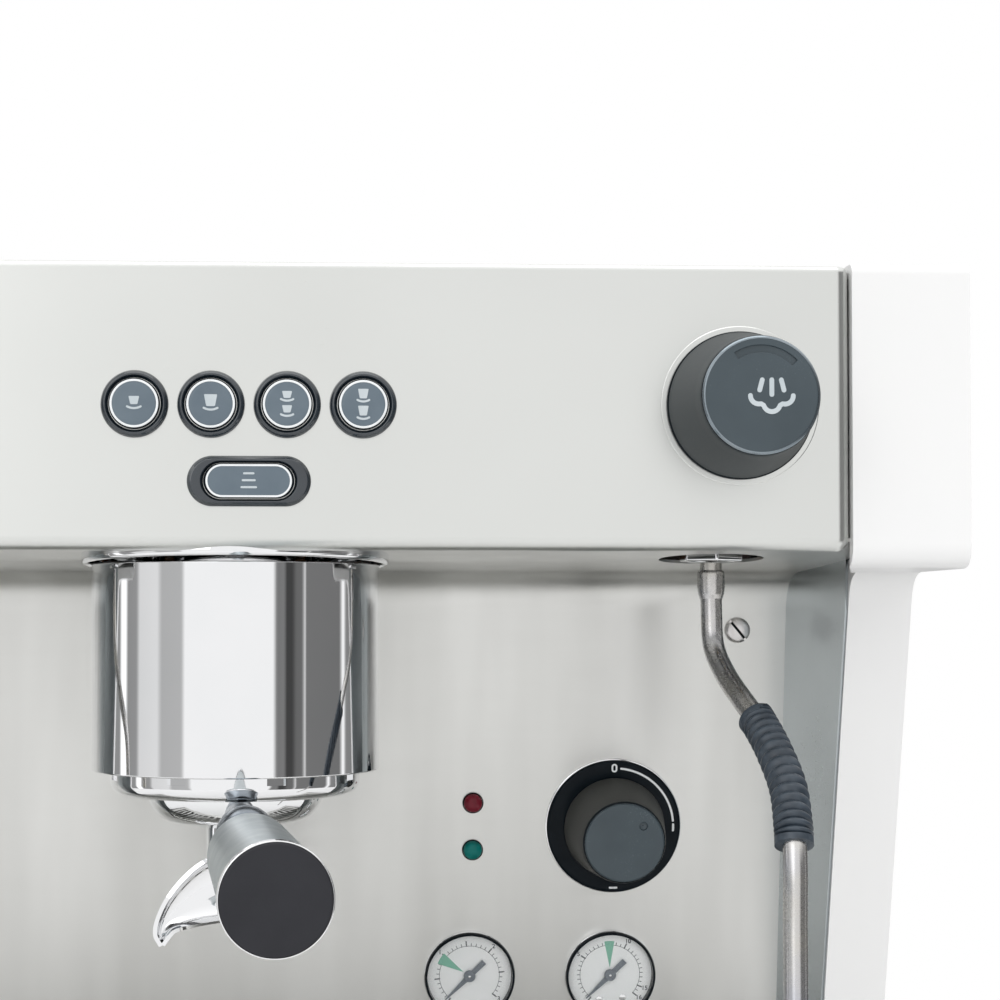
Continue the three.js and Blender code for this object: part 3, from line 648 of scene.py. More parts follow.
def side_walls():
    """The two cheeks beside the back wall, which open a little towards the barista."""
    rear_x, front_x, rows = WALL_X - 5.4, WALL_X + 2.5, 12
    for side, name in ((1, "right"), (-1, "left")):
        bm = bmesh.new()
        levels = []
        near_top, far_top = underside_z(COLUMN_TOP_Y), UNDER_REAR_Z
        for k in range(rows + 1):
            near_z, far_z = [SPLASH_FOOT + (top - SPLASH_FOOT) * k / rows for top in (near_top, far_top)]
            near = bm.verts.new((side * front_x, column_y(min(near_z, 358)) + 1.5, near_z))
            far = bm.verts.new((side * rear_x, splash_y(far_z) + 0.4, far_z))
            levels.append([near, far])
        for one, two in zip(levels, levels[1:]):
            bm.faces.new((one[0], one[1], two[1], two[0]))
        bmesh.ops.recalc_face_normals(bm, faces=bm.faces)
        if sum(face.normal.x * side for face in bm.faces) > 0:
            bmesh.ops.reverse_faces(bm, faces=bm.faces)
        # Their darker, bluer steel is painted shade.
        made = piece(f"cheek_{name}", bm, STEEL_CHEEK_SHADED)
        thicken = made.modifiers.new("sheet", "SOLIDIFY")
        thicken.thickness = 1.0 * MM
        thicken.offset = -1


# ---------------------------------------------------------------- brew group
def arch(radius, back, steps=64):
    """A half circle towards the barista with straight sides running back."""
    return [Vector((radius, back))] + arc(radius, 0, -180, steps) + [Vector((-radius, back))]


def group_cover():
    bottom, top = low("group_cover").z, high("group_cover").z
    radius = (high("group_cover").x - low("group_cover").x) / 2
    back = high("group_cover").y - GROUP.y - 1.5
    outer, inner = arch(radius, back), arch(radius - 1.6, back)
    bm = prism(outer + inner[::-1], bottom, top)
    place = at(GROUP.x, GROUP.y)
    piece("group_cover_shell", bm, CHROME, stands_for=["group_cover"], place=place, bevel=0.5)


def group_ring():
    """The notched bayonet ring that shows below the cover, with the group body above it."""
    top = high("group_body").z
    base = low("group_body").z
    outline = [
        (36.6, 302), (36.6, base + 0.6), (37.4, base), (43.8, base), (46.4, base + 1.4),
        (47.6, base + 4.2), (47.6, base + 9.2), (46.8, base + 10), (46.8, base + 15), (41, base + 19),
        (40, 304), (40, 358), (30, 366), (30, top - 1), (0, top - 1), (0, 302),
    ]
    notches = []
    for k in range(8):
        notch = block(-3.6, 3.6, -60, -46.2, base + 6.0, base + 9.6)
        notch.transform(rotated(20 + 45 * k))
        notches.append(notch)
    bm = carved(turned(softened(outline + outline[:1], 1.2, 4)[1:], 128), *notches)
    place = at(GROUP.x, GROUP.y)
    neck = swept([Vector((0, 0, 388)), Vector((0, 156, 388))], 12.9, 48)
    piece("group_casting", together(bm, neck), CHROME, stands_for=["group_body"], place=place)


def portafilter():
    """Bowl, blue-grey neck, collar, satin sleeve and black end cap on one axis."""
    fit = partial(piece, body="portafilter", place=at_group())
    bottom, top = 268.6, 297.2
    bowl = lathe([
        (0, bottom), (14, bottom), (29, bottom + 3.4), (33.7, bottom + 10.5), (33.7, top), (31.4, top),
        (31.4, 277), (0, 276.6)], 4, 8, 128)
    fit("portafilter_bowl", bowl, CHROME)
    start, end = 83.3, 195.3
    knots = [(27, 275.2, 5.8), (44, 273.8, 6.6), (53, 272.8, 8.2), (60, 271.8, 10.4), (67, 270.4, 10.6),
             (73, 269.0, 9.2), (77, HANDLE_Z + 0.6, 9.0)]
    route = curve_through([(0, -y, z) for y, z, _ in knots], 8)
    widths = [p.x for p in curve_through([(r, 0, 0) for _, _, r in knots], 8)]
    neck = swept(route, widths, 64)
    collar = lathe([
        (0, 0), (9.0, 0), (11.2, 1.0), (12.6, 2.8), (13.0, 5.2), (12.6, 6.3), (0, 6.3)], 0.8, 4, 96)
    collar.transform(along_handle(-start + 6.6))
    fit("portafilter_arm", neck, NECK_METAL, stands_for=["portafilter_body"], sharp=50)
    fit("portafilter_collar", collar, CHROME, sharp=50)
    length = end - start
    grip = lathe([
        (0, 0), (11, 0), (14.3, 2.4), (14.9, 7), (15.5, length * 0.5), (16.35, length - 1.5),
        (16.35, length - 0.3), (15.5, length), (0, length)], 1.6, 5, 128)
    grip.transform(along_handle(-start))
    fit("handle_sleeve", grip, SATIN, stands_for=["portafilter_handle"])
    cap = lathe([(0, 0.1), (16.4, 0.1), (16.7, 0.9), (16.7, 4.0), (16.2, 4.75), (0, 4.8)], 0.5, 4, 128)
    cap.transform(along_handle(-end))
    fit("handle_end", cap, CAP_BLACK, stands_for=["handle_cap"])
    rim = lathe([(16.6, 0.4), (17.1, 0.4), (17.1, 4.2), (16.65, 4.4), (16.6, 0.4)], 0.2, 2, 128)
    rim.transform(along_handle(-end))
    fit("handle_end_rim", rim, CHROME)


def double_spout():
    """Two curved open troughs that leave one boss under the bowl, each with a rolled outer lip."""
    fit = partial(piece, body="portafilter", place=at_group())
    boss = lathe([(0, 254), (9.6, 254), (11, 257), (11, 271.2), (0, 271.2)], 1.5, 4, 64)
    fit("spout_boss", boss, CHROME)
    outer = curve_through([
        (0, 259.2, 0), (10.2, 256.4, 0), (18, 251.1, 0), (25.2, 242.8, 0), (29.4, 234.5, 0),
        (30.4, 228.3, 0), (28.2, 223.9, 0)], 10)
    lower = curve_through([
        (0, 233.2, 0), (6, 232.4, 0), (13, 231.4, 0), (19, 230.3, 0), (23.1, 229.0, 0), (25.6, 226.4, 0),
        (27.4, 223.9, 0)], 10)
    for side, name in ((1, "right"), (-1, "left")):
        bm = bmesh.new()
        rows = []
        for top_point, low_point in zip(outer, lower):
            row = []
            for k in range(21):
                t = k / 20
                lip = -3.6 * math.exp(-t / 0.06) - 1.6 * math.exp(-(1 - t) / 0.08)
                depth = lip + 2.2 * math.sin(math.pi * t) + 0.6
                x = top_point.x * (1 - t) + low_point.x * t
                z = top_point.y * (1 - t) + low_point.y * t
                row.append(bm.verts.new((side * x, depth, z)))
            rows.append(row)
        for one, two in zip(rows, rows[1:]):
            for k in range(20):
                bm.faces.new((one[k], one[k + 1], two[k + 1], two[k]))
        bmesh.ops.recalc_face_normals(bm, faces=bm.faces)
        made = fit(f"spout_horn_{name}", bm, CHROME, sharp=80,
                   stands_for=["portafilter_spout"] if side > 0 else ())
        wall = made.modifiers.new("wall", "SOLIDIFY")
        wall.thickness = 1.6 * MM
        wall.offset = 0
        add_bevel(made, 0.7, 4)


# ---------------------------------------------------------------- buttons
def cup_marks(width, height, cup_y, saucer, saucer_y):
    """A cup and the curved saucer below it, as outlines of x and y."""
    w, h = width / 2, height / 2
    cup = softened([(-w, cup_y + h), (w, cup_y + h), (w * 0.66, cup_y - h), (-w * 0.66, cup_y - h)], 0.4,
                   4, True)
    sag = arc(saucer * 0.95, 270 - 29, 270 + 29, 12, (0, saucer_y + saucer * 0.95 - 0.15))
    return [cup, stroke(sag, 0.75)]


def round_buttons():
    marks = [
        cup_marks(3.8, 2.9, 1.05, 5.2, -1.65), cup_marks(4.7, 4.2, 1.15, 5.3, -2.05),
        cup_marks(3.6, 2.5, 3.3, 4.7, 1.25) + cup_marks(3.6, 2.6, -1.8, 4.7, -4.15),
        cup_marks(3.8, 3.4, 3.75, 4.5, 1.1) + cup_marks(3.8, 3.5, -2.3, 4.5, -5.1),
    ]
    for i, shapes in enumerate(marks, 1):
        centre = mid(f"button_cap_{i}")
        fit = partial(piece, place=on_hood(centre.x, centre.z))
        rim = lathe([
            (9.3, -4), (10.0, -4), (10.0, 0.1), (12.0, 0.1), (12.0, 0.6), (11.6, 1.6), (10.9, 2.35),
            (10.3, 2.5), (9.95, 2.0), (9.6, 1.1), (9.3, 1.0), (9.3, -4)], 0.3, 4, 128)
        fit(f"bezel_round_{i}", rim, BEZEL_GLOSS, stands_for=[f"button_bezel_{i}"])
        body = f"button_{i}"
        cap = lathe([(0, -4), (9.05, -4), (9.05, 1.9), (8.65, 2.75), (0, 2.8)], 0.35, 4, 128)
        fit(f"cap_round_{i}", cap, BLACK_GLOSS, body, stands_for=[f"button_cap_{i}"], slot="slate")
        inlay = lathe([(0, 2.6), (7.8, 2.6), (7.8, 2.9), (6.5, 2.98), (0, 3.0)], 0.1, 2, 128)
        fit(f"cap_inlay_{i}", inlay, CAP_SLATE, body)
        halo = lathe([(7.8, 2.5), (8.6, 2.5), (8.6, 2.95), (7.8, 3.05), (7.8, 2.5)], 0.12, 2, 128)
        fit(f"cap_halo_{i}", halo, PRINT_WHITE, body, slot="slate")
        icons = bmesh.new()
        for outline in shapes:
            prism(outline, 2.9, 3.08, icons)
        fit(f"cap_mark_{i}", icons, ICON, body)


def oval_button():
    centre = mid("oval_cap")
    fit = partial(piece, place=on_hood(centre.x, centre.z))
    steps = 40
    bands = [(43.9, 17.9, 0.1), (43.9, 17.9, 0.7), (42.0, 16.0, 2.2), (40.6, 15.2, 2.5),
             (34.4, 14.2, 2.5), (33.4, 13.4, 1.6), (32.6, 12.9, 0.9), (32.6, 12.9, -4), (36.0, 14.4, -4),
             (36.0, 14.4, 0.1)]
    bm = bmesh.new()
    loops = [[bm.verts.new((p.x, p.y, z)) for p in stadium(w, h, steps)] for w, h, z in bands]
    skin(bm, loops + loops[:1])
    bmesh.ops.recalc_face_normals(bm, faces=bm.faces)
    fit("bezel_oval", bm, BEZEL_GLOSS, stands_for=["oval_bezel"], bevel=0.2)
    body = "oval_button"
    cap = prism(stadium(32.2, 12.4, steps), -4, 2.7)
    fit("cap_oval", cap, BLACK_GLOSS, body, stands_for=["oval_cap"], slot="slate", bevel=0.5)
    inlay = prism(stadium(29.2, 10.4, steps), 2.6, 2.95)
    fit("cap_inlay_oval", inlay, CAP_SLATE, body)
    halo = ring_prism(stadium(30.5, 11.7, steps), stadium(29.1, 10.3, steps), 2.5, 3.05)
    fit("cap_halo_oval", halo, PRINT_WHITE, body, slot="slate")
    icons = bmesh.new()
    for k, width in enumerate((3.3, 4.2, 5.1)):
        height = 2.6 - 2.45 * k
        prism(stroke([(-width / 2, height), (width / 2, height)], 0.75), 2.9, 3.05, icons)
    fit("cap_mark_oval", icons, ICON, body)


# ---------------------------------------------------------------- valve knobs and power switch
def knob_profile():
    return softened([
        (0, 2.0), (26.0, 2.0), (26.2, 2.6), (25.7, 4.4), (21.6, 28), (20.9, 33.0), (20.4, 34.0),
        (0, 34.0)], 0.9, 4)


def valve_knobs():
    for node in ("steam_knob", "water_knob"):
        centre = mid(node)
        fit = partial(piece, place=on_hood(centre.x, centre.z))
        fit(f"{node}_shell", turned(knob_profile(), 160), KNOB_GREY, node, stands_for=[node])
        foot = lathe([(0, 0.5), (26.6, 0.5), (26.7, 1.3), (26.3, 2.1), (0, 2.1)], 0.3, 3, 160)
        fit(f"{node}_foot", foot, BLACK_GLOSS, node)
        collar = lathe([(10, 0.05), (28.7, 0.05), (28.4, 0.3), (10, 0.35), (10, 0.05)], 0.1, 3, 160)
        fit(f"{node}_collar", collar, STEEL_HOOD)
        groove = turned([(19.6, 33.8), (20.6, 33.8), (20.6, 34.3), (19.6, 34.3), (19.6, 33.8)], 160)
        fit(f"{node}_groove", groove, BLACK_GLOSS, node)
        face = lathe([(0, 33), (20.1, 33), (20.3, 34.7), (19.8, 35.3), (19.2, 35.45), (0, 35.5)], 0.3, 4,
                     160)
        window = arc(17.3, 44, 123, 24) + arc(14.7, 123, 44, 24)
        fit(f"{node}_face", carved(face, prism(window, 34.4, 40)), FACE_SLATE, node, bevel=0.22,
            segments=3)
        rim = turned([(20.0, 34.5), (20.45, 34.5), (20.45, 34.85), (19.95, 35.4), (19.5, 35.52),
                      (19.5, 35.3), (20.0, 34.5)], 160)
        fit(f"{node}_rim", rim, RIM_SLATE, node)
        marks = bmesh.new()
        shapes = steam_marks() if node == "steam_knob" else water_marks()
        for outline in shapes:
            prism(outline, 35.2, 35.6, marks)
        fit(f"{node}_mark", marks, ICON, node)


def steam_marks():
    """Three rays over the scalloped edge of a cloud, a little right of the middle."""
    cx, cy, line = 3.4, -0.3, 1.65
    rays = [stroke([(cx + s * 3.3, cy + 5.5), (cx + s * 4.2, cy + 2.0)], line) for s in (-1, 1)]
    rays.append(stroke([(cx, cy + 5.5), (cx, cy + 0.5)], line))
    cloud = arc(2.9, 180, 285, 14, (cx - 4.5, cy + 0.1))
    cloud += arc(2.9, 195, 345, 20, (cx, cy - 2.5))
    cloud += arc(2.9, 255, 360, 14, (cx + 4.5, cy + 0.1))
    return rays + [stroke(cloud, line)]


def water_marks():
    """A drop over two ripples."""
    cx, cy = 3.4, -0.5
    drop = [Vector((cx, cy + 6))] + arc(2.3, 25, -205, 24, (cx, cy + 1.2))
    ripples = [stroke(arc(6, 245, 295, 12, (cx, cy + 3.4 - 2.2 * k)), 1.1) for k in range(2)]
    return [drop] + ripples


def power_switch():
    fit = partial(piece, place=on_splash(mid("switch_plate").x, SWITCH_Z))
    plate = lathe([(0, 0.2), (28.8, 0.2), (28.9, 2.2), (28.2, 3.0), (27.2, 3.2), (0, 3.2)], 0.5, 4, 160)
    fit("switch_plate_disc", plate, BLACK_GLOSS, stands_for=["switch_plate"])
    rim = lathe([(28.8, 0.1), (29.35, 0.1), (29.3, 0.9), (28.8, 1.1), (28.8, 0.1)], 0.15, 2, 160)
    fit("switch_plate_rim", rim, CHROME)
    marks = bmesh.new()
    line = 25.6
    for start, end, radius in ((84, 6, line), (2.5, -3.5, line), (267.0, 269.6, line + 1),
                               (270.6, 273.2, line + 1)):
        prism(stroke(arc(radius, start, end, 40), 0.9), 3.1, 3.34, marks)
    fit("switch_scale", marks, PRINT_WHITE)
    zero = ring_prism(upright(2.5, 3.7), upright(1.05, 2.3), 3.1, 3.34)
    zero.transform(shifted(-0.2, line + 0.1, 0))
    fit("switch_zero", zero, PRINT_WHITE)
    skirt = lathe([
        (0, 3.9), (21.3, 3.9), (21.7, 4.8), (21.4, 6.2), (17.9, 29.5), (17.5, 31.2),
        (0, 31.2)], 0.8, 4, 160)
    fit("switch_skirt", skirt, SKIRT_GREY, "switch_knob", stands_for=["switch_knob"])
    groove = lathe([(0, 31.0), (17.3, 31.0), (17.3, 31.9), (0, 31.9)], 0.3, 2, 160)
    fit("switch_groove", groove, BLACK_GLOSS, "switch_knob")
    face = lathe([(0, 31.4), (16.6, 31.4), (16.7, 32.7), (16.1, 33.35), (0, 33.45)], 0.5, 4, 160)
    dent = turned([(0, -1.6), (1.6, -0.9), (2.2, 1.4), (0, 1.5)], 32)
    dent.transform(shifted(7.7, 7.2, 33.4))
    fit("switch_face", carved(face, dent), FACE_SLATE, "switch_knob")


def upright(width, height):
    return [Vector((-p.y, p.x)) for p in stadium(height, width, 12)]


def lamps():
    for node, lens, z in (("lamp_red", RED_LENS, LAMP_RED_Z), ("lamp_green", GREEN_LENS, LAMP_GREEN_Z)):
        fit = partial(piece, place=on_splash(mid(node).x, z))
        rim = lathe([(4.15, -3), (4.5, 0.1), (4.55, 0.7), (4.3, 1.0), (4.15, 0.8), (4.15, -3)], 0.15, 3,
                    64)
        fit(f"{node}_rim", rim, BLACK_GLOSS)
        dome = lathe([(0, -3), (4.1, -3), (4.1, 1.0), (3.6, 2.6), (2.0, 3.6), (0, 3.8)], 1.2, 5, 64)
        fit(f"{node}_lens", dome, lens, stands_for=[node])


# ---------------------------------------------------------------- gauges
def digits(text, x, y, size, place, name):
    """Small characters laid flat on a dial."""
    curve = bpy.data.curves.new(name, "FONT")
    curve.body = text
    curve.size = size * MM
    curve.align_x = "CENTER"
    curve.align_y = "CENTER"
    curve.extrude = 0.04 * MM
    curve.offset = 0.05 * MM
    holder = linked(name + "_font", curve)
    mesh = evaluated_mesh(holder)
    bpy.data.objects.remove(holder)
    mesh.transform(place @ at(x, y, DIAL_Z + 0.03))
    mesh.materials.clear()
    mesh.materials.append(PRINT_DARK)
    made = linked(name, mesh)
    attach(made, ROOT)


DIAL_Z = 1.1
SCALE_R = 13.0
SCALE_START, SCALE_END = 231, -39    # the scale runs clockwise between these angles


def scale_angle(share):
    return SCALE_START + (SCALE_END - SCALE_START) * share


def gauges():
    scales = [
        dict(divisions=30, major=5, numbers={10: "1", 20: "2", 30: "3"}, green=(8, 10.3), screws=()),
        dict(divisions=32, major=10, numbers={10: "5", 20: "10", 30: "15", 32: "16"}, green=(15.5, 17.5),
             screws=((-4.5, -11.0), (5.7, -10.2))),
    ]
    for i, scale in enumerate(scales, 1):
        place = on_splash(mid(f"gauge_case_{i}").x, GAUGE_Z)
        fit = partial(piece, place=place)
        case = lathe([
            (0, -20), (17.9, -20), (17.9, 0.1), (19.5, 0.1), (19.55, 4.0), (19.2, 5.2), (18.8, 5.45),
            (18.45, 5.2), (18.35, 4.2), (18.3, 0.9), (0, 0.9)], 0.3, 4, 128)
        fit(f"gauge_{i}_case", case, BLACK_GLOSS, stands_for=[f"gauge_case_{i}"])
        dial = turned([(0, 0.7), (18.2, 0.7), (18.2, DIAL_Z), (0, DIAL_Z)], 96)
        fit(f"gauge_{i}_dial", dial, DIAL)
        rim = lathe([(19.5, 0.1), (19.7, 0.1), (19.75, 2.6), (19.5, 2.8), (19.5, 0.1)], 0.1, 2, 128)
        fit(f"gauge_{i}_rim", rim, CHROME)
        ticks = bmesh.new()
        for k in range(scale["divisions"] + 1):
            angle = math.radians(scale_angle(k / scale["divisions"]))
            major = k % scale["major"] == 0 or k == scale["divisions"]
            ray = Vector((math.cos(angle), math.sin(angle)))
            outer, width = (15.0, 0.58) if major else (14.2, 0.3)
            prism(stroke([ray * SCALE_R, ray * outer], width), DIAL_Z, DIAL_Z + 0.06, ticks)
        prism(stroke(arc(SCALE_R, SCALE_START, SCALE_END, 90), 0.2), DIAL_Z, DIAL_Z + 0.05, ticks)
        fit(f"gauge_{i}_ticks", ticks, PRINT_DARK)
        for step, text in scale["numbers"].items():
            angle = math.radians(scale_angle(step / scale["divisions"]))
            digits(text, 16.5 * math.cos(angle), 16.5 * math.sin(angle), 2.7, place,
                   f"gauge_{i}_number_{text}")
        digits("bar", 0, -12.5, 2.5, place, f"gauge_{i}_unit")
        first, last = [scale_angle(step / scale["divisions"]) for step in scale["green"]]
        middle = math.radians((first + last) / 2)
        wedge = [Vector((math.cos(middle), math.sin(middle))) * 3] + arc(14.8, first, last, 8)
        fit(f"gauge_{i}_band", prism(wedge, DIAL_Z, DIAL_Z + 0.1), DIAL_GREEN)
        for k, (x, y) in enumerate(scale["screws"], 1):
            head = lathe([(0, DIAL_Z), (1.55, DIAL_Z), (1.5, DIAL_Z + 0.45), (0, DIAL_Z + 0.6)], 0.2, 3,
                         32)
            head.transform(shifted(x, y, 0))
            fit(f"gauge_{i}_screw_{k}", head, CHROME)
        gauge_needle(i, place)
        glass = lathe([(0, 3.7), (18.2, 3.7), (18.2, 4.1), (14, 4.35), (0, 4.5)], 0.2, 3, 96)
        fit(f"gauge_{i}_glass", glass, GLASS)


def gauge_needle(i, place):
    fit = partial(piece, place=place)
    blade = prism([(-1.25, 0), (-0.18, 14.6), (0.18, 14.6), (1.25, 0)], 1.9, 2.4)
    tail = prism([(-1.0, 0), (1.0, 0), (1.25, -8.8), (-1.25, -8.8)], 1.9, 2.4)
    hub = lathe([(0, 1.6), (2.55, 1.6), (2.55, 2.7), (2.2, 2.95), (0, 2.95)], 0.2, 3, 48)
    pointer = together(blade, tail, hub)
    pointer.transform(rotated(135))
    body = f"gauge_needle_{i}"
    fit(f"gauge_{i}_pointer", pointer, NEEDLE, body, stands_for=[body])
    pin = turned([(0, 2.9), (0.5, 2.9), (0.5, 3.15), (0, 3.25)], 24)
    fit(f"gauge_{i}_pin", pin, CHROME, body)


def slotted_screw():
    centre = mid("backsplash_screw")
    fit = partial(piece, place=on_splash(centre.x, SCREW_Z))
    head = lathe([(0, 0.2), (5.3, 0.2), (5.45, 1.2), (4.4, 2.4), (2.4, 2.9), (0, 3.0)], 0.6, 5, 64)
    groove = block(-7, 7, -0.55, 0.55, 0.9, 6)
    groove.transform(rotated(-50))
    fit("splash_screw_head", carved(head, groove), SATIN_SILVER, stands_for=["backsplash_screw"],
        bevel=0.1)
    # Painted shade: a black strip laid on the floor of the slot, standing in for the shade that a real
    # screw slot holds.
    floor = block(-4.4, 4.4, -0.53, 0.53, 0.8, 1.3)
    floor.transform(rotated(-50))
    fit("splash_screw_slot", floor, BLACK_GLOSS, slot="chrome")


# ---------------------------------------------------------------- steam wand and hot water spout
NUT_R, NUT_FOOT = 13, 370.2
WAND_STOPS = [
    (WAND.x, WAND.y, 369.6), (WAND.x, WAND.y - 0.5, 352), (179.5, HOOD_Y + 67, 337),
    (182, HOOD_Y + 56, 326), (185.4, HOOD_Y + 42, 317), (189, HOOD_Y + 30, 309),
    (190.9, HOOD_Y + 15, 300), (191.2, HOOD_Y - 6, 288), (189.2, HOOD_Y - 22, 276),
    (188.2, HOOD_Y - 29, 264), (187.4, HOOD_Y - 32, 240), (185.6, HOOD_Y - 40, 185),
    (184.6, HOOD_Y - 44, 156),
]


def steam_wand():
    tube = swept(curve_through(WAND_STOPS, 12), 4.2, 40)
    place = at(WAND.x, WAND.y)
    fit = partial(piece, place=place)
    piece("wand_tube", tube, WAND_STEEL, "steam_wand", stands_for=["steam_wand"])
    collar = lathe([
        (0, 353), (4.2, 355), (5.1, 357.6), (5.35, 360), (5.35, 365.8), (4.9, 366.6), (4.1, 366.8),
        (4.1, 369.4), (0, 369.4)], 0.6, 4, 64)
    fit("wand_collar", collar, WAND_STEEL, "steam_wand")
    nut = prism(arc(NUT_R, 30, 330, 5), NUT_FOOT, 383.8)
    bore = turned([(0, 360), (8.9, 360), (8.9, 400), (0, 400)], 48)
    fit("wand_hex", carved(nut, bore), CHROME, stands_for=["wand_nut"], bevel=0.8)
    ball = bmesh.new()
    bmesh.ops.create_uvsphere(ball, u_segments=48, v_segments=32, radius=8.55)
    ball.transform(shifted(0, 0, WAND.z))
    fit("wand_joint_ball", ball, CHROME, "wand_ball", stands_for=["wand_ball"])
    x, y, z = WAND_STOPS[-1]
    tip = lathe([(0, -12), (2.6, -12), (5.0, -6), (5.3, -2), (5.3, -0.3), (0, -0.3)], 0.8, 4, 64)
    tip.transform(Matrix.Rotation(-math.atan2(4, 29), 4, "X"))
    piece("wand_tip", tip, CHROME, "steam_wand", stands_for=["wand_nozzle"], place=at(x, y, z))


def wand_grip():
    """The rubber sleeve: a flared collar at the top, eighteen ribs and a plain band at the end."""
    stops = [(188.3, HOOD_Y + 32.4, 310.6)] + WAND_STOPS[5:9] + [(188.6, HOOD_Y - 26, 269.2)]
    path = curve_through(stops, 72)
    ribs, top_share, end_share = 18, 0.10, 0.10
    radii = []
    for k in range(len(path)):
        t = k / (len(path) - 1)
        if t < top_share:
            radii.append(7.0 - 1.0 * max(0, (t / top_share - 0.75) * 4) ** 2)
        elif t > 1 - end_share:
            radii.append(6.75)
        else:
            phase = (t - top_share) / (1 - top_share - end_share) * ribs
            radii.append(5.1 + 1.75 * abs(math.sin(math.pi * phase)) ** 0.8)
    for k, radius in enumerate((5.0, 6.3, 6.8)):
        radii[k] = min(radii[k], radius)
        radii[-1 - k] = min(radii[-1 - k], radius)
    piece("wand_grip_sleeve", swept(path, radii, 56), RUBBER, "steam_wand", stands_for=["wand_grip"],
          sharp=60)


def hot_water_spout():
    stops = [(-WAND.x, WAND.y, 369.6), (-WAND.x, WAND.y, 350), (-WAND.x, WAND.y - 5, 332),
             (-WAND.x + 3, WAND.y - 24, 315), (-WAND.x + 6, WAND.y - 42, 300),
             (-WAND.x + 7, WAND.y - 48, 282), (-WAND.x + 7, WAND.y - 48, 262)]
    piece("water_tube", swept(curve_through(stops, 12), 4.9, 40), WAND_STEEL, "water_spout",
          stands_for=["water_spout"])
    nut = prism(arc(NUT_R, 30, 330, 5), NUT_FOOT, 380)
    piece("water_hex", nut, CHROME, bevel=0.8, place=at(-WAND.x, WAND.y))


# ---------------------------------------------------------------- what stays as the CAD made it
def finish_cad_nodes():
    looks = {
        "base_frame": (STEEL_DEEP, 0.5), "rear_cover": (STEEL_PLAIN, 0.4),
        "cup_tray": (STEEL_PLAIN, 0.8), "cup_rail": (CHROME, 0), "drip_tray": (STEEL_PLAIN, 1.6),
        "drip_grate": (STEEL_PLAIN, 0.8), "filter_basket": (STEEL_DEEP, 0), "group_gasket": (RUBBER, 0),
        "shower_screen": (STEEL_DEEP, 0), "power_gland": (KNOB_GREY, 0.4), "water_inlet": (BRASS, 0.4),
        "steam_valve": (BRASS, 0.8), "water_valve": (BRASS, 0.8), "boiler": (COPPER, 0),
        "heating_element": (BRASS, 0), "pump_motor": (KNOB_GREY, 1), "pump": (BRASS, 0.6),
        "solenoid_valve": (KNOB_GREY, 1),
    }
    for i in range(1, 5):
        looks[f"foot_{i}"] = (FOOT_RUBBER, 0.5)
    for node, (material, bevel) in looks.items():
        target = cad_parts[node]
        target.data.materials.clear()
        target.data.materials.append(material)
        if bevel:
            add_bevel(target, bevel, 3)


def group_rim():
    """The rolled chrome lip of the group's hole, which hangs a little lower at the back."""
    rim = lathe([
        (56.2, 7), (56.0, 0.9), (56.8, 0), (58.2, 0.2), (58.8, 1.6), (58.6, 7), (56.2, 7)], 0.6, 4, 160)
    place = at(GROUP.x, GROUP.y, 368.1)
    piece("group_hole_rim", rim, CHROME, place=place @ rotated(-2.2, "X"))


# ---------------------------------------------------------------- studio
def studio():
    """A small pale round floor in a white room."""
    bm = bmesh.new()
    bmesh.ops.create_circle(bm, cap_ends=True, segments=128, radius=0.9)
    pale = surface("floor_pale", (0.80, 0.80, 0.80), (0.83, 0.83, 0.825), (0.6, 0.75), patch=2, grain=90)
    ground = linked("floor", mesh_of("floor", bm))
    ground.data.materials.append(pale)
    sky()


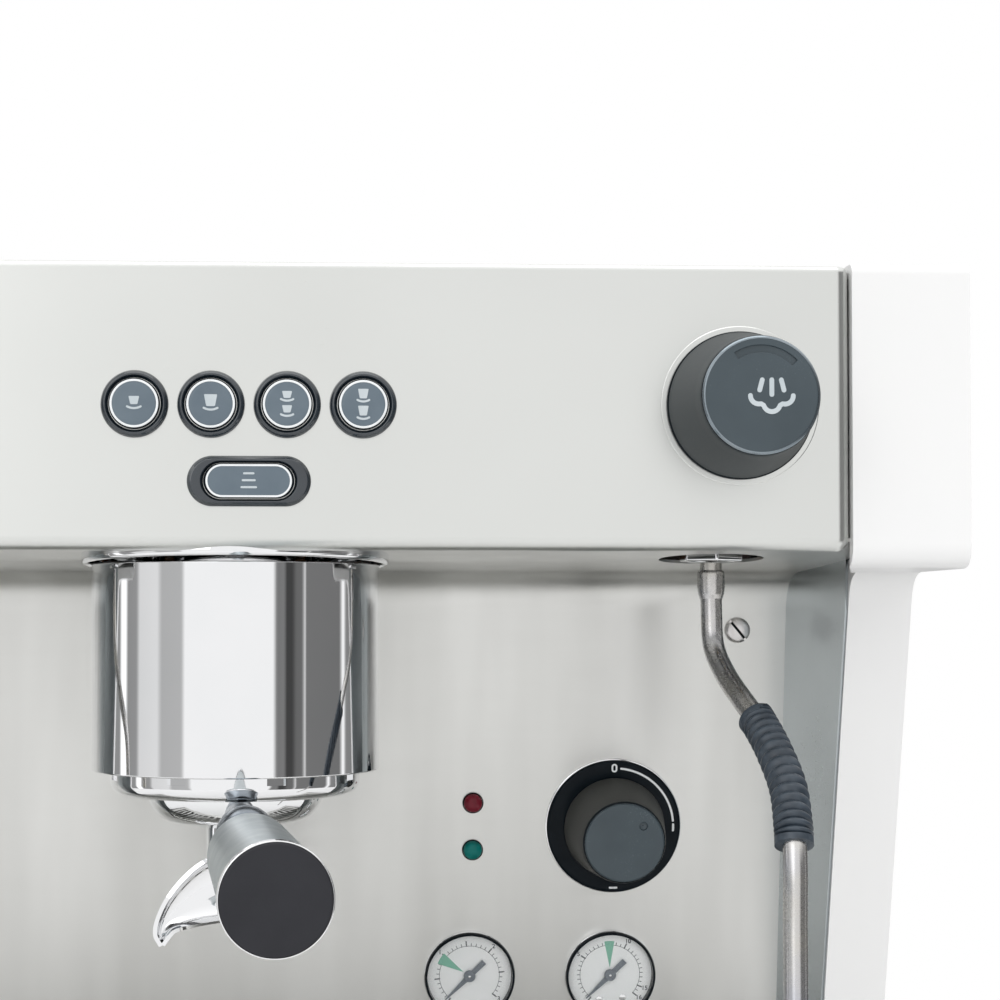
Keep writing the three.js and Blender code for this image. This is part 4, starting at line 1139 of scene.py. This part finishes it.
def sky():
    """A white studio room with dark gaps between its soft boxes, which chrome shows as upright bands.

    Each stop is an angle in degrees around the room, 0 towards the barista, and its brightness.
    """
    world = bpy.data.worlds.new("studio")
    bpy.context.scene.world = world
    world.use_nodes = True
    tree = world.node_tree
    tree.nodes.clear()
    around = add_node(tree, "TexCoord").outputs["Generated"]
    towards = add_node(tree, "SeparateXYZ", {"Vector": around}).outputs
    angle = calculated(tree, "ARCTAN2", towards["X"], calculated(tree, "MULTIPLY", towards["Y"], -1))
    bands = add_node(tree, "ValToRGB", {"Fac": between(tree, angle, 0, 1, -math.pi, math.pi)})
    stops = [
        (-180, 0.60), (-140, 0.45), (-136, 0.08), (-122, 0.10), (-116, 0.30), (-101, 0.30), (-99, 1.3),
        (-94, 1.3), (-92, 0.30), (-82, 0.32), (-79, 0.75), (-62, 0.80), (-58, 0.48), (-41, 0.50),
        (-38, 1.0), (31, 1.0), (34, 0.20), (40, 0.22), (42, 0.06), (47, 0.06), (50, 0.15), (56, 0.16),
        (57, 0.95), (59, 0.19), (92, 0.18), (96, 1.2), (99, 0.26), (116, 0.20), (122, 0.07), (140, 0.10),
        (146, 0.40), (180, 0.60),
    ]
    elements = bands.color_ramp.elements
    elements[0].position, elements[1].position = 0.0, 1.0
    elements[0].color = elements[1].color = (0.6, 0.6, 0.6, 1)
    for degrees, level in stops[1:-1]:
        made = elements.new((degrees + 180) / 360)
        made.color = (level, level, level, 1)
    overhead = between(tree, towards["Z"], 0, 1, 0.25, 0.60)
    room = blend_colours(tree, overhead, bands.outputs["Color"], (1.15, 1.15, 1.15, 1))
    lit = add_node(tree, "Background", {"Color": room}).outputs["Background"]
    plain = add_node(tree, "Background", {"Color": (1, 1, 1, 1)}).outputs["Background"]
    seen = add_node(tree, "LightPath").outputs["Is Camera Ray"]
    chosen = add_node(tree, "MixShader", {"Fac": seen, 1: lit, 2: plain}).outputs["Shader"]
    add_node(tree, "OutputWorld", {"Surface": chosen})


def soft_box(name, size, energy, position, target):
    light = bpy.data.lights.new(name, "AREA")
    light.shape = "RECTANGLE"
    light.size, light.size_y = size
    light.energy = energy
    made = linked(name, light)
    made.location = position
    made.rotation_euler = (Vector(target) - Vector(position)).to_track_quat("-Z", "Y").to_euler()
    return made


def lights():
    soft_box("front_left", (1.4, 1.6), 7, (-1.2, -1.9, 1.3), (0, 0, 0.3))
    soft_box("overhead", (1.6, 1.2), 8, (0.1, -0.3, 2.2), (0, 0, 0.3))
    fill = soft_box("low_right", (1.2, 0.6), 5, (0.9, -1.9, 0.15), (0.2, -0.1, 0.25))
    fill.visible_glossy = False


LENS, SHIFT = 74.26, (0.10, 0.07)
EYE_RIGHT, EYE_AWAY, EYE_HEIGHT = 25.5, 732.6, 347    # from the group's axis, the hood and the floor
AIM = (91.41, 0, -2.708)                              # degrees about X, Y and Z


def camera():
    """A view almost square to the hood, from the height of the group and a little right of its axis."""
    data = bpy.data.cameras.new("camera")
    data.sensor_width = 36
    data.lens = LENS
    data.shift_x, data.shift_y = SHIFT
    made = linked("camera", data)
    made.location = Vector((GROUP.x + EYE_RIGHT, HOOD_Y - EYE_AWAY, EYE_HEIGHT)) * MM
    made.rotation_euler = [math.radians(angle) for angle in AIM]
    bpy.context.scene.camera = made
    bpy.context.scene.view_settings.view_transform = "Standard"


camera()
studio()
lights()
finish_cad_nodes()
side_panels()
hood_front()
backsplash()
group_rim()
group_cover()
group_ring()
portafilter()
double_spout()
round_buttons()
oval_button()
valve_knobs()
power_switch()
lamps()
gauges()
slotted_screw()
steam_wand()
wand_grip()
hot_water_spout()
